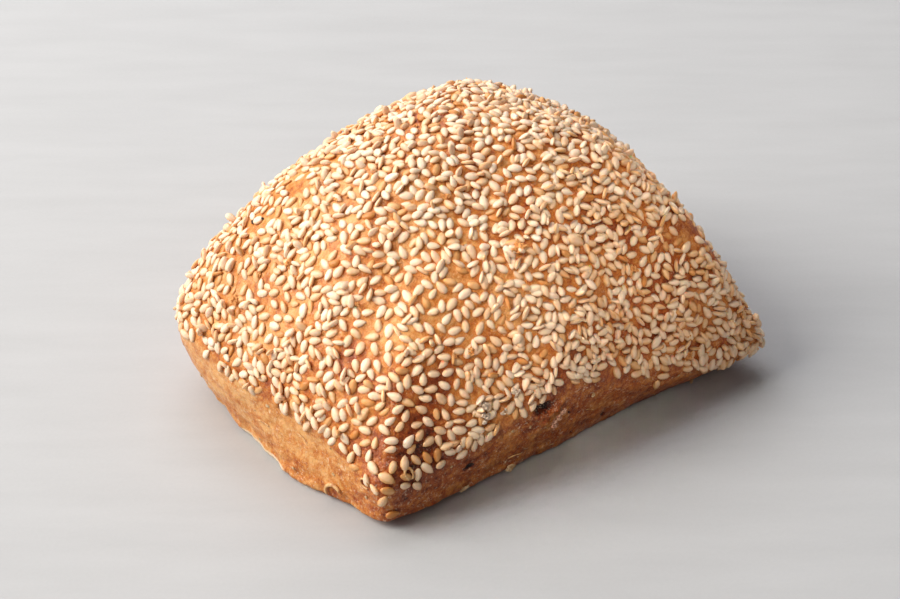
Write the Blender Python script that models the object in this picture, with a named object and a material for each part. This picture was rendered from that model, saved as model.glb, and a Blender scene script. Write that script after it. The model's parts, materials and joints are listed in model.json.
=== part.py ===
"""Wholegrain bread roll: a square pillow of dough, baked to a domed top strewn with sesame.

Four sides meet in corners that run out into blunt ears. A dome rises from the rim to the crown,
a bare band tucks in below the rim to the flat sole, and the largest sesame seeds are fused to
the dome. Lengths are in metres and +Z is up. The origin is on the sole, under the middle of the
roll's box. The front side faces -Y.
"""
import math
import random
from dataclasses import dataclass

import bmesh
import bpy
import numpy as np
from mathutils import Matrix, Vector, noise

MM = 0.001

# Height of the bare crown, and how far it leans off the middle of the plan.
CROWN_HEIGHT = 58.9 * MM
CROWN_LEAN = (2.3 * MM, 7.9 * MM)
# The plan's polar centre, seen from the origin.
PLAN_CENTRE = (2.0 * MM, -3.1 * MM)
# The dome's plan rounds off towards the crown.
CROWN_ROUNDING = 2.77
# Dome profile over the middle of a side: flat across the crown, steep at the rim.
SIDE_SPREAD, SIDE_FALL = 2.0, 0.63
# The band keeps plumb under the rim, then curves in to the sole.
BAND_CURVE = 1.8
# The sole's edge is rounded off: inset and height of its last ring.
SOLE_INSET = 3.0 * MM
SOLE_EDGE = 0.7 * MM
# Slow unevenness of the dough: depth and length of its waves.
SWELL, SWELL_LENGTH = 1.0 * MM, 17.0 * MM

# Sesame seed, hulled: length, width and thickness of a large one, and how deep it sits.
SEED_LENGTH, SEED_WIDTH, SEED_THICKNESS = 3.35 * MM, 2.05 * MM, 1.05 * MM
SEED_SUNK = 0.25 * MM
SEED_COUNT = 180
SEED_SIDES = 6
SEED_DRAW = 41

# Mesh density: columns round the plan, rings on the dome and on the band.
COLUMNS, DOME_RINGS, BAND_RINGS = 72, 12, 4


@dataclass(frozen=True)
class Side:
    """One side of the plan: the way it faces, its distance, swell, rim height and tuck."""

    facing: float
    reach: float
    bulge: float
    rim: float
    tuck: float


@dataclass(frozen=True)
class Corner:
    """The corner after a side: sharpness, rim height, ear, dome profile, tuck and lift."""

    sharpness: float
    rim: float
    ear: float
    spread: float
    fall: float
    tuck: float
    lift: float


@dataclass(frozen=True)
class Pit:
    """A burst bubble in the front band: plan angle, station, and half sizes of the hole."""

    angle: float
    station: float
    across: float
    high: float
    deep: float


SIDES = (
    Side(facing=-96.6, reach=35.8 * MM, bulge=0.4 * MM, rim=17.4 * MM, tuck=2.9 * MM),
    Side(facing=0.0, reach=47.8 * MM, bulge=2.8 * MM, rim=21.0 * MM, tuck=3.4 * MM),
    Side(facing=92.1, reach=46.5 * MM, bulge=-0.7 * MM, rim=16.8 * MM, tuck=3.4 * MM),
    Side(facing=186.2, reach=52.5 * MM, bulge=0.9 * MM, rim=15.3 * MM, tuck=-1.3 * MM),
)
# In the same order: front right, back right, back left and front left.
CORNERS = (
    Corner(sharpness=12.4, rim=8.1 * MM, ear=3.0 * MM, spread=3.17, fall=1.02,
           tuck=5.4 * MM, lift=3.1 * MM),
    Corner(sharpness=9.1, rim=12.0 * MM, ear=0.0, spread=2.4, fall=0.92,
           tuck=4.0 * MM, lift=1.3 * MM),
    Corner(sharpness=6.0, rim=17.5 * MM, ear=-1.5 * MM, spread=2.1, fall=0.85,
           tuck=7.0 * MM, lift=1.3 * MM),
    Corner(sharpness=12.3, rim=10.6 * MM, ear=4.0 * MM, spread=2.3, fall=0.95,
           tuck=0.2 * MM, lift=1.3 * MM),
)
PITS = (
    Pit(angle=-107.2, station=1.15, across=2.0 * MM, high=0.9 * MM, deep=1.4 * MM),
    Pit(angle=-132.2, station=1.46, across=1.0 * MM, high=0.5 * MM, deep=0.8 * MM),
)


def blend(a, b, t):
    """Mix of a and b, by t from 0 to 1."""
    return a * (1.0 - t) + b * t


class RollSkin:
    """The bare skin: a point for each plan angle and station.

    A station is 0 at the crown, 1 at the rim and 2 where the band meets the sole.
    """

    def __init__(self, sides, corners):
        self.facings = np.radians([side.facing for side in sides])
        self.reaches = np.array([side.reach for side in sides])
        rows = []
        for index, (side, corner) in enumerate(zip(sides, corners)):
            before = corners[index - 1]
            sharpness = (before.sharpness + corner.sharpness) / 2.0
            rows.append((self.facings[index], 0.0, side.rim, sharpness, side.bulge,
                         0.0, SIDE_SPREAD, SIDE_FALL, side.tuck, 0.0))
            rows.append((self.corner_angle(index), 1.0, corner.rim, corner.sharpness, 0.0,
                         corner.ear, corner.spread, corner.fall, corner.tuck, corner.lift))
        rows = np.array(sorted((row[0] % math.tau, *row[1:]) for row in rows))
        first, last = rows[0].copy(), rows[-1].copy()
        first[0] += math.tau
        last[0] -= math.tau
        self.rows = np.vstack([last, rows, first])

    def corner_angle(self, index):
        """Plan angle at which the side and the next one meet."""
        following = (index + 1) % len(self.facings)
        normals = np.array([[math.cos(a), math.sin(a)]
                            for a in (self.facings[index], self.facings[following])])
        meet = np.linalg.solve(normals, self.reaches[[index, following]])
        return math.atan2(meet[1], meet[0])

    def plan_radius(self, theta, sharpness):
        """Distance of the four-sided outline, its corners rounded by the sharpness."""
        toward = np.clip(np.cos(theta[:, None] - self.facings), 0.0, None) / self.reaches
        return (toward ** sharpness[:, None]).sum(axis=1) ** (-1.0 / sharpness)

    def points(self, theta, station):
        """Points of the skin for arrays of plan angles and stations."""
        theta = np.asarray(theta, dtype=float) % math.tau
        station = np.asarray(station, dtype=float)
        at = np.clip(np.searchsorted(self.rows[:, 0], theta) - 1, 0, len(self.rows) - 2)
        low, high = self.rows[at], self.rows[at + 1]
        even = (theta - low[:, 0]) / (high[:, 0] - low[:, 0])
        eased = even * even * (3.0 - 2.0 * even)
        _, cornered, _, _, _, ear, _, _, tuck, lift = blend(low.T, high.T, even)
        _, _, rim, sharpness, bulge, _, spread, fall, _, _ = blend(low.T, high.T, eased)
        ear = ear * cornered ** 5
        lift = lift * cornered

        rho = np.minimum(station, 1.0)
        below = np.clip(station - 1.0, 0.0, 1.0)
        rounding = blend(CROWN_ROUNDING, sharpness, rho ** 2)
        radius = (self.plan_radius(theta, rounding) + bulge * rho ** 2 + ear * rho ** 6) * rho
        radius = radius - tuck * below ** BAND_CURVE
        lean = 1.0 - rho ** 2
        arch = np.clip(1.0 - rho ** spread, 0.0, None) ** fall
        return np.column_stack([
            PLAN_CENTRE[0] + CROWN_LEAN[0] * lean + radius * np.cos(theta),
            PLAN_CENTRE[1] + CROWN_LEAN[1] * lean + radius * np.sin(theta),
            blend(rim, CROWN_HEIGHT, arch) + (lift + SOLE_EDGE - rim) * below,
        ])

    def swelled(self, theta, station):
        """Skin points with the slow unevenness, which dies away towards the sole."""
        points = self.points(theta, station)
        heart = Vector((*PLAN_CENTRE, 0.3 * CROWN_HEIGHT))
        for point in points:
            place = Vector(point)
            outward = (place - heart).normalized()
            share = min(1.0, place.z / (0.2 * CROWN_HEIGHT))
            point += np.array(outward) * SWELL * share * noise.noise(place / SWELL_LENGTH)
        return points

    def frame(self, angle, station):
        """Matrix whose Z axis is the skin's normal at one place, and X runs down the skin."""
        step = 0.004
        around = np.array([angle, angle, angle, angle + step, angle - step])
        down = np.array([station, station + step, station - step, station, station])
        place, lower, upper, left, right = (Vector(p) for p in self.swelled(around, down))
        along = (lower - upper).normalized()
        normal = along.cross(left - right).normalized()
        across = normal.cross(along)
        turn = Matrix((along, across, normal)).transposed()
        return Matrix.Translation(place) @ turn.to_4x4()


def ring_mesh(name, rings, start, end):
    """Closed mesh through rings of points, with a point or a flat face at each end."""
    mesh = bpy.data.meshes.new(name)
    bm = bmesh.new()
    loops = [[bm.verts.new(point) for point in ring] for ring in rings]
    for upper, lower in zip(loops, loops[1:]):
        for index in range(len(upper)):
            following = (index + 1) % len(upper)
            bm.faces.new((upper[index], lower[index], lower[following], upper[following]))
    for loop, tip in ((loops[0], start), (loops[-1], end)):
        if tip is None:
            bm.faces.new(loop)
            continue
        centre = bm.verts.new(tip)
        for index in range(len(loop)):
            bm.faces.new((centre, loop[index], loop[(index + 1) % len(loop)]))
    bmesh.ops.recalc_face_normals(bm, faces=bm.faces)
    bm.to_mesh(mesh)
    bm.free()
    return mesh


def crust_mesh(skin):
    """The bare roll: dome, band and rounded edge down to one flat sole."""
    theta = np.linspace(0.0, math.tau, COLUMNS, endpoint=False)
    dome = [math.sin(0.5 * math.pi * ring / DOME_RINGS) for ring in range(1, DOME_RINGS + 1)]
    band = [1.0 + ring / BAND_RINGS for ring in range(1, BAND_RINGS + 1)]
    rings = [skin.swelled(theta, np.full(COLUMNS, station)) for station in dome + band]
    centre = np.array(PLAN_CENTRE)
    out = rings[-1][:, :2] - centre
    length = np.linalg.norm(out, axis=1, keepdims=True)
    lift = rings[-1][:, 2:3] - SOLE_EDGE
    sole = centre + out * (1.0 - (SOLE_INSET + 1.5 * lift) / length)
    rings.append(np.column_stack([sole, np.zeros(COLUMNS)]))
    crown = skin.swelled([0.0], [0.0])[0]
    return ring_mesh("roll", rings, start=crown, end=None)


def ellipsoid_mesh(name, half_sizes, segments=8, rings=6):
    """Small ellipsoid about its own middle."""
    mesh = bpy.data.meshes.new(name)
    bm = bmesh.new()
    bmesh.ops.create_uvsphere(bm, u_segments=segments, v_segments=rings, radius=1.0,
                              matrix=Matrix.Diagonal((*half_sizes, 1.0)))
    bm.to_mesh(mesh)
    bm.free()
    return mesh


def seed_mesh(scale):
    """A flat drop: blunt at one end, pointed at the other."""
    girths = ((-0.34, 0.84), (0.10, 0.98))
    rings = []
    for along, girth in girths:
        rings.append([(along * SEED_LENGTH * scale,
                       0.5 * SEED_WIDTH * scale * girth * math.cos(math.tau * k / SEED_SIDES),
                       0.5 * SEED_THICKNESS * scale * girth * math.sin(math.tau * k / SEED_SIDES))
                      for k in range(SEED_SIDES)])
    tips = [(end * SEED_LENGTH * scale, 0.0, 0.0) for end in (-0.5, 0.5)]
    return ring_mesh("seed", rings, start=tips[0], end=tips[1])


def seed_places(skin, count):
    """Plan angles and stations of seeds spread evenly over the dome.

    The golden angle spreads them. Both steps follow the dome's area, so that the long corners
    and the steep flanks get their share.
    """
    fine = 120
    theta = np.linspace(0.0, math.tau, fine + 1)
    station = np.linspace(0.0, 1.0, fine + 1)
    grid_theta, grid_station = np.meshgrid(theta, station)
    points = skin.points(grid_theta.ravel(), grid_station.ravel()).reshape(fine + 1, fine + 1, 3)
    down = points[1:, :-1] - points[:-1, :-1]
    around = points[:-1, 1:] - points[:-1, :-1]
    area = np.linalg.norm(np.cross(down, around), axis=2)
    by_station = np.concatenate([[0.0], np.cumsum(area.sum(axis=1))])
    by_theta = np.concatenate([[0.0], np.cumsum(area.sum(axis=0))])
    golden = (math.sqrt(5.0) - 1.0) / 2.0
    for index in range(count):
        deep = 0.975 * (index + 0.5) / count
        turn = (index * golden) % 1.0
        yield (float(np.interp(turn * by_theta[-1], by_theta, theta)),
               float(np.interp(deep * by_station[-1], by_station, station)))


def place_object(name, mesh, matrix, collection):
    """Object for a mesh, its points moved to their place so that the object stays unturned."""
    mesh.transform(matrix)
    item = bpy.data.objects.new(name, mesh)
    collection.objects.link(item)
    return item


def fuse(roll, collection, operation):
    """Apply one Boolean of the whole collection to the roll, then remove the collection."""
    boolean = roll.modifiers.new(collection.name, "BOOLEAN")
    boolean.operation = operation
    boolean.operand_type = "COLLECTION"
    boolean.collection = collection
    boolean.solver = "EXACT"
    graph = bpy.context.evaluated_depsgraph_get()
    fused = bpy.data.meshes.new_from_object(roll.evaluated_get(graph))
    roll.modifiers.clear()
    old, roll.data = roll.data, fused
    bpy.data.meshes.remove(old)
    for item in list(collection.objects):
        bpy.data.objects.remove(item)
    bpy.data.collections.remove(collection)


def drop_scraps(mesh):
    """Keep the largest connected body of the mesh, free of doubled points."""
    bm = bmesh.new()
    bm.from_mesh(mesh)
    bmesh.ops.remove_doubles(bm, verts=bm.verts, dist=0.002 * MM)
    bmesh.ops.dissolve_degenerate(bm, edges=bm.edges, dist=0.002 * MM)
    bmesh.ops.triangulate(bm, faces=bm.faces)
    bodies, seen = [], set()
    for start in bm.verts:
        if start in seen:
            continue
        body, queue = [], [start]
        seen.add(start)
        while queue:
            vert = queue.pop()
            body.append(vert)
            for edge in vert.link_edges:
                other = edge.other_vert(vert)
                if other not in seen:
                    seen.add(other)
                    queue.append(other)
        bodies.append(body)
    bodies.sort(key=len)
    for body in bodies[:-1]:
        bmesh.ops.delete(bm, geom=body, context="VERTS")
    bm.to_mesh(mesh)
    bm.free()


def crust_material():
    """Baked wholegrain crust, dull and warm brown."""
    material = bpy.data.materials.new("crust")
    material.use_nodes = True
    shader = material.node_tree.nodes["Principled BSDF"]
    shader.inputs["Base Color"].default_value = (0.56, 0.34, 0.16, 1.0)
    shader.inputs["Roughness"].default_value = 0.62
    shader.inputs["Metallic"].default_value = 0.0
    return material


def main():
    """Model the roll in an emptied scene."""
    for item in list(bpy.data.objects):
        bpy.data.objects.remove(item)
    root = bpy.context.scene.collection
    skin = RollSkin(SIDES, CORNERS)
    roll = place_object("roll", crust_mesh(skin), Matrix.Identity(4), root)

    pits = bpy.data.collections.new("pits")
    root.children.link(pits)
    for pit in PITS:
        mesh = ellipsoid_mesh("pit", (pit.high, pit.across, pit.deep))
        place_object("pit", mesh, skin.frame(math.radians(pit.angle), pit.station), pits)
    fuse(roll, pits, "DIFFERENCE")

    seeds = bpy.data.collections.new("seeds")
    root.children.link(seeds)
    draw = random.Random(SEED_DRAW)
    for angle, station in seed_places(skin, SEED_COUNT):
        spin = Matrix.Rotation(draw.uniform(0.0, math.tau), 4, "Z")
        tilt = Matrix.Rotation(math.radians(draw.gauss(0.0, 7.0)), 4, "Y")
        rise = 0.5 * SEED_THICKNESS - SEED_SUNK - draw.uniform(0.0, 0.1) * MM
        place = skin.frame(angle, station)
        place.translation = roll.closest_point_on_mesh(place.translation)[1]
        place = place @ Matrix.Translation((0.0, 0.0, rise))
        place_object("seed", seed_mesh(draw.uniform(0.92, 1.04)), place @ spin @ tilt, seeds)
    fuse(roll, seeds, "UNION")

    drop_scraps(roll.data)
    roll.data.materials.clear()
    roll.data.materials.append(crust_material())
    roll.data.shade_smooth()
    roll.data.set_sharp_from_angle(angle=math.radians(40.0))


main()
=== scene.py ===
"""Wholegrain bread roll strewn with sesame, dressed and lit in a small studio.

The bare roll follows the named sizes of the part: a four-sided dome over a bare band. Hulled
sesame covers the dome, and flour, bran, crumbs and a few strays lie where a real roll has them.
Lengths are in metres and +Z is up. The front side of the roll faces -Y.
"""

import json
import logging
import math
import random
from dataclasses import dataclass, field
from enum import Enum
from typing import Any, Iterator, Sequence

import bmesh
import bpy
import numpy as np
from mathutils import Euler, Matrix, Vector, noise
from mathutils.bvhtree import BVHTree

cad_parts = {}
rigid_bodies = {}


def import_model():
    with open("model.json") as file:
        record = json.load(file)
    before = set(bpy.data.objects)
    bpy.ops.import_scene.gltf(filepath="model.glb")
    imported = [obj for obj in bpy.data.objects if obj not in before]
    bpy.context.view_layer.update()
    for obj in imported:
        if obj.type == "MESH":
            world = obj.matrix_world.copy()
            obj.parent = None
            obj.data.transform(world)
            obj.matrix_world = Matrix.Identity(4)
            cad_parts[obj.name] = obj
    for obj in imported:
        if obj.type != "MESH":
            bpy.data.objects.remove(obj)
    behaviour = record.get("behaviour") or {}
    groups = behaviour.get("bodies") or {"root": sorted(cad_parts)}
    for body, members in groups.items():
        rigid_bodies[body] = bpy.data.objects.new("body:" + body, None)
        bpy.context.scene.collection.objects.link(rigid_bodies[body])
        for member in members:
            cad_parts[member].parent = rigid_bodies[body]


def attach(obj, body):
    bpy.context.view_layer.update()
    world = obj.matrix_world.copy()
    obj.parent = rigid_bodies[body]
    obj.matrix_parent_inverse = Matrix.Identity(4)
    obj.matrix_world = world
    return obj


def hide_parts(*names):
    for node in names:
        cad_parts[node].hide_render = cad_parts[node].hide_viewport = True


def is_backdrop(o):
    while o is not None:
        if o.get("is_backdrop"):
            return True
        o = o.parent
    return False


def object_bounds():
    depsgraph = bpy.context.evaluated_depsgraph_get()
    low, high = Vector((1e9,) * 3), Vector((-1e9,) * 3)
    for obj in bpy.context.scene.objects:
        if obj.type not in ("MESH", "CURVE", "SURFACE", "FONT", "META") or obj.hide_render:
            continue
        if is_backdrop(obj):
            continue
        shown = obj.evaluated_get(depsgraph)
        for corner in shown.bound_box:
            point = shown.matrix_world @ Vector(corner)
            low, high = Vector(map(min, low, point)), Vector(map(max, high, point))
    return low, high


LOG = logging.getLogger("bread_roll")
MM = 0.001

# The roll's sizes, as in the part.
CROWN_HEIGHT = 58.9 * MM
CROWN_LEAN = (2.3 * MM, 7.9 * MM)
PLAN_CENTRE = (2.0 * MM, -3.1 * MM)
CROWN_ROUNDING = 2.77
SIDE_SPREAD, SIDE_FALL = 2.0, 0.63
BAND_CURVE = 1.8
SOLE_INSET = 3.0 * MM
SOLE_EDGE = 0.7 * MM
SWELL, SWELL_LENGTH = 1.0 * MM, 17.0 * MM
SEED_LENGTH, SEED_WIDTH, SEED_THICKNESS = 3.35 * MM, 2.05 * MM, 1.05 * MM
SEED_SUNK = 0.25 * MM
SEED_COUNT = 180
SEED_DRAW = 41

# The front corners' plan angles in degrees, counted from 0 to 360.
FRONT_LEFT_TURN, FRONT_RIGHT_TURN = 212.0, 316.0
# Plan angle and station of the crumb torn out below the largest burst bubble.
TORN_PLACE = (-103.8, 1.345)
# Points of the sole count as this station, past the band's last one at 2.
SOLE_STATION = 2.2

# The photograph's direction: the turn of the camera round the roll and its height in degrees.
VIEW_TURN, VIEW_RISE = -40.0, 34.9


def linear(code: str, alpha: float = 1.0) -> tuple[float, float, float, float]:
    """Turn an sRGB hex code into the linear colour that shaders take.

    Args:
        code: Colour as "#rrggbb".
        alpha: Opacity, passed through.

    Returns:
        Linear red, green, blue and alpha.
    """
    parts = [int(code[i:i + 2], 16) / 255.0 for i in (1, 3, 5)]
    red, green, blue = (p / 12.92 if p <= 0.04045 else ((p + 0.055) / 1.055) ** 2.4
                        for p in parts)
    return red, green, blue, alpha


def feed(tree: bpy.types.NodeTree, item: bpy.types.Node, inputs: dict[Any, Any]) -> None:
    """Give a node's inputs their values and links.

    Args:
        tree: Tree that holds the node.
        item: The node.
        inputs: Value, or socket to link from, for each input name or index.
    """
    for key, value in inputs.items():
        if isinstance(value, bpy.types.NodeSocket):
            tree.links.new(value, item.inputs[key])
        else:
            item.inputs[key].default_value = value


def add_node(tree: bpy.types.NodeTree, kind: str, inputs: dict[Any, Any] | None = None,
             **settings: Any) -> bpy.types.Node:
    """Add a node with its settings, values and links.

    Args:
        tree: Tree that receives the node.
        kind: Blender's name of the node type.
        inputs: Value, or socket to link from, for each input name or index.
        settings: Attributes of the node.

    Returns:
        The new node.
    """
    item = tree.nodes.new(kind)
    for key, value in settings.items():
        setattr(item, key, value)
    feed(tree, item, inputs or {})
    return item


def new_material(name: str) -> tuple[bpy.types.Material, bpy.types.NodeTree, bpy.types.Node,
                                     bpy.types.NodeSocket]:
    """Start a material.

    Args:
        name: Its name.

    Returns:
        The material, its tree, its shader node and the place on the object.
    """
    material = bpy.data.materials.new(name)
    material.use_nodes = True
    tree = material.node_tree
    place = add_node(tree, "ShaderNodeTexCoord").outputs["Object"]
    return material, tree, tree.nodes["Principled BSDF"], place


def set_ramp(item: bpy.types.Node, stops: Sequence[tuple[float, str]]) -> None:
    """Give a colour ramp its stops.

    Args:
        item: The Color Ramp node.
        stops: Position and hex colour of each stop, in rising order.
    """
    elements = item.color_ramp.elements
    while len(elements) < len(stops):
        elements.new(1.0)
    for element, (position, code) in zip(elements, stops):
        element.position = position
        element.color = linear(code)


def blend(a: Any, b: Any, t: Any) -> Any:
    """Mix of a and b, by t from 0 to 1."""
    return a * (1.0 - t) + b * t


def smooth(low: float, high: float, value: Any) -> Any:
    """Ease from 0 at low to 1 at high."""
    t = np.clip((value - low) / (high - low), 0.0, 1.0)
    return t * t * (3.0 - 2.0 * t)


def plateau(start: float, full: float, fade: float, end: float, value: Any) -> Any:
    """Ease from 0 at start to 1 at full, and from 1 at fade back to 0 at end."""
    return smooth(start, full, value) * (1.0 - smooth(fade, end, value))


def direction(turn: float, rise: float) -> Vector:
    """Unit vector from the roll, by the turn from the front and the rise in degrees."""
    turn, rise = math.radians(turn), math.radians(rise)
    return Vector((math.sin(turn) * math.cos(rise), -math.cos(turn) * math.cos(rise),
                   math.sin(rise)))


def noise_at(points: np.ndarray, length: float, octaves: int = 1,
             shift: float = 0.0) -> np.ndarray:
    """Smooth noise from about -1 to 1 at many points.

    Args:
        points: Places, one a row.
        length: Length of the slowest wave.
        octaves: Number of waves, each half as long and half as deep.
        shift: Offset that gives an independent pattern.

    Returns:
        One value for each point.
    """
    total = np.zeros(len(points))
    for octave in range(octaves):
        step = length / 2 ** octave
        total += np.array([noise.noise(Vector(p / step) + Vector((shift, 0.0, octave * 7.1)))
                           for p in points]) / 2 ** octave
    return total


@dataclass(frozen=True)
class Side:
    """One side of the plan: the way it faces, its distance, swell, rim height and tuck."""

    facing: float
    reach: float
    bulge: float
    rim: float
    tuck: float


@dataclass(frozen=True)
class Corner:
    """The corner after a side: sharpness, rim height, ear, dome profile, tuck and lift."""

    sharpness: float
    rim: float
    ear: float
    spread: float
    fall: float
    tuck: float
    lift: float


SIDES = (
    Side(facing=-96.6, reach=35.8 * MM, bulge=0.4 * MM, rim=17.4 * MM, tuck=2.9 * MM),
    Side(facing=0.0, reach=47.8 * MM, bulge=2.8 * MM, rim=21.0 * MM, tuck=3.4 * MM),
    Side(facing=92.1, reach=46.5 * MM, bulge=-0.7 * MM, rim=16.8 * MM, tuck=3.4 * MM),
    Side(facing=186.2, reach=52.5 * MM, bulge=0.9 * MM, rim=15.3 * MM, tuck=-1.3 * MM),
)
# In the same order: front right, back right, back left and front left.
CORNERS = (
    Corner(sharpness=12.4, rim=8.1 * MM, ear=3.0 * MM, spread=3.17, fall=1.02,
           tuck=5.4 * MM, lift=3.1 * MM),
    Corner(sharpness=9.1, rim=12.0 * MM, ear=0.0, spread=2.4, fall=0.92,
           tuck=4.0 * MM, lift=1.3 * MM),
    Corner(sharpness=6.0, rim=17.5 * MM, ear=-1.5 * MM, spread=2.1, fall=0.85,
           tuck=7.0 * MM, lift=1.3 * MM),
    Corner(sharpness=12.3, rim=10.6 * MM, ear=4.0 * MM, spread=2.3, fall=0.95,
           tuck=0.2 * MM, lift=1.3 * MM),
)


@dataclass(frozen=True)
class Spot:
    """A place on the skin by plan angle in degrees and station, with a radius and a strength."""

    angle: float
    station: float
    radius: float = 0.0
    strength: float = 1.0


class RollSkin:
    """The bare skin: a point for each plan angle and station.

    A station is 0 at the crown, 1 at the rim and 2 where the band meets the sole.
    """

    def __init__(self, sides: Sequence[Side], corners: Sequence[Corner]) -> None:
        """Lay out the values at the middles of the sides and at the corners.

        Args:
            sides: The four sides, in turn.
            corners: The corner after each side.
        """
        self.facings = np.radians([side.facing for side in sides])
        self.reaches = np.array([side.reach for side in sides])
        rows = []
        for index, (side, corner) in enumerate(zip(sides, corners)):
            before = corners[index - 1]
            sharpness = (before.sharpness + corner.sharpness) / 2.0
            rows.append((self.facings[index], 0.0, side.rim, sharpness, side.bulge,
                         0.0, SIDE_SPREAD, SIDE_FALL, side.tuck, 0.0))
            rows.append((self.corner_angle(index), 1.0, corner.rim, corner.sharpness, 0.0,
                         corner.ear, corner.spread, corner.fall, corner.tuck, corner.lift))
        table = np.array(sorted((row[0] % math.tau, *row[1:]) for row in rows))
        first, last = table[0].copy(), table[-1].copy()
        first[0] += math.tau
        last[0] -= math.tau
        self.rows = np.vstack([last, table, first])

    def corner_angle(self, index: int) -> float:
        """Plan angle at which a side and the next one meet.

        Args:
            index: Number of the side.

        Returns:
            The angle in radians.
        """
        following = (index + 1) % len(self.facings)
        normals = np.array([[math.cos(a), math.sin(a)]
                            for a in (self.facings[index], self.facings[following])])
        meet = np.linalg.solve(normals, self.reaches[[index, following]])
        return math.atan2(meet[1], meet[0])

    def plan_radius(self, theta: np.ndarray, sharpness: np.ndarray) -> np.ndarray:
        """Distance of the four-sided outline, its corners rounded by the sharpness."""
        toward = np.clip(np.cos(theta[:, None] - self.facings), 0.0, None) / self.reaches
        return (toward ** sharpness[:, None]).sum(axis=1) ** (-1.0 / sharpness)

    def points(self, theta: Any, station: Any) -> np.ndarray:
        """Points of the even skin.

        Args:
            theta: Plan angles in radians.
            station: Stations, as many as the angles.

        Returns:
            One point a row.
        """
        theta = np.asarray(theta, dtype=float) % math.tau
        station = np.asarray(station, dtype=float)
        at = np.clip(np.searchsorted(self.rows[:, 0], theta) - 1, 0, len(self.rows) - 2)
        low, high = self.rows[at], self.rows[at + 1]
        even = (theta - low[:, 0]) / (high[:, 0] - low[:, 0])
        eased = even * even * (3.0 - 2.0 * even)
        _, cornered, _, _, _, ear, _, _, tuck, lift = blend(low.T, high.T, even)
        _, _, rim, sharpness, bulge, _, spread, fall, _, _ = blend(low.T, high.T, eased)
        ear = ear * cornered ** 5
        lift = lift * cornered

        rho = np.minimum(station, 1.0)
        below = np.clip(station - 1.0, 0.0, 1.0)
        rounding = blend(CROWN_ROUNDING, sharpness, rho ** 2)
        radius = (self.plan_radius(theta, rounding) + bulge * rho ** 2 + ear * rho ** 6) * rho
        radius = radius - tuck * below ** BAND_CURVE
        lean = 1.0 - rho ** 2
        arch = np.clip(1.0 - rho ** spread, 0.0, None) ** fall
        return np.column_stack([
            PLAN_CENTRE[0] + CROWN_LEAN[0] * lean + radius * np.cos(theta),
            PLAN_CENTRE[1] + CROWN_LEAN[1] * lean + radius * np.sin(theta),
            blend(rim, CROWN_HEIGHT, arch) + (lift + SOLE_EDGE - rim) * below,
        ])

    def swelled(self, theta: Any, station: Any) -> np.ndarray:
        """Skin points with the slow unevenness of the dough, which dies away at the sole.

        Args:
            theta: Plan angles in radians.
            station: Stations, as many as the angles.

        Returns:
            One point a row.
        """
        points = self.points(theta, station)
        outward = points - np.array([*PLAN_CENTRE, 0.3 * CROWN_HEIGHT])
        outward /= np.linalg.norm(outward, axis=1, keepdims=True)
        share = np.minimum(1.0, points[:, 2] / (0.2 * CROWN_HEIGHT))
        return points + outward * (SWELL * share * noise_at(points, SWELL_LENGTH))[:, None]

    def frames(self, theta: Any, station: Any) -> tuple[np.ndarray, ...]:
        """Places on the skin with their directions.

        Args:
            theta: Plan angles in radians.
            station: Stations, as many as the angles.

        Returns:
            Places, directions down the skin, directions across it, and outward normals.
        """
        theta, station = np.asarray(theta, dtype=float), np.asarray(station, dtype=float)
        step = 0.004  # of a radian and of a station
        place = self.swelled(theta, station)
        down = self.swelled(theta, station + step) - self.swelled(theta, station - step)
        across = self.swelled(theta + step, station) - self.swelled(theta - step, station)
        down /= np.linalg.norm(down, axis=1, keepdims=True)
        normal = np.cross(down, across)
        normal /= np.linalg.norm(normal, axis=1, keepdims=True)
        return place, down, np.cross(normal, down), normal

    def frame(self, angle: float, station: float) -> Matrix:
        """Frame of one place, whose Z axis is the normal and X runs down the skin.

        Args:
            angle: Plan angle in radians.
            station: Station.

        Returns:
            The frame.
        """
        place, down, across, normal = (Vector(part[0]) for part in
                                       self.frames([angle], [station]))
        turn = Matrix((down, across, normal)).transposed()
        return Matrix.Translation(place) @ turn.to_4x4()

    def even_stations(self, low: float, high: float, count: int) -> np.ndarray:
        """Stations an even distance apart along the skin, without the first.

        Args:
            low: Station to start from.
            high: Station to end at.
            count: How many stations.

        Returns:
            The stations.
        """
        fine = np.linspace(low, high, 1500)
        spans = np.zeros(len(fine) - 1)
        profiles = 16
        for angle in np.linspace(0.0, math.tau, profiles, endpoint=False):
            path = self.points(np.full(len(fine), angle), fine)
            spans += np.linalg.norm(np.diff(path, axis=0), axis=1)
        length = np.concatenate([[0.0], np.cumsum(spans)])
        return np.interp(np.linspace(0.0, length[-1], count + 1)[1:], length, fine)

    def at(self, spot: Spot) -> Matrix:
        """Frame of a spot's place."""
        return self.frame(math.radians(spot.angle), spot.station)

    def nearness(self, points: np.ndarray, spot: Spot) -> np.ndarray:
        """Strength of a spot at many points, fading with the distance from its middle.

        Args:
            points: Points, one a row.
            spot: The spot.

        Returns:
            One value for each point.
        """
        middle = np.array(self.at(spot).translation)
        distance = np.linalg.norm(points - middle, axis=1)
        return spot.strength * np.exp(-(distance / spot.radius) ** 2)


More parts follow.
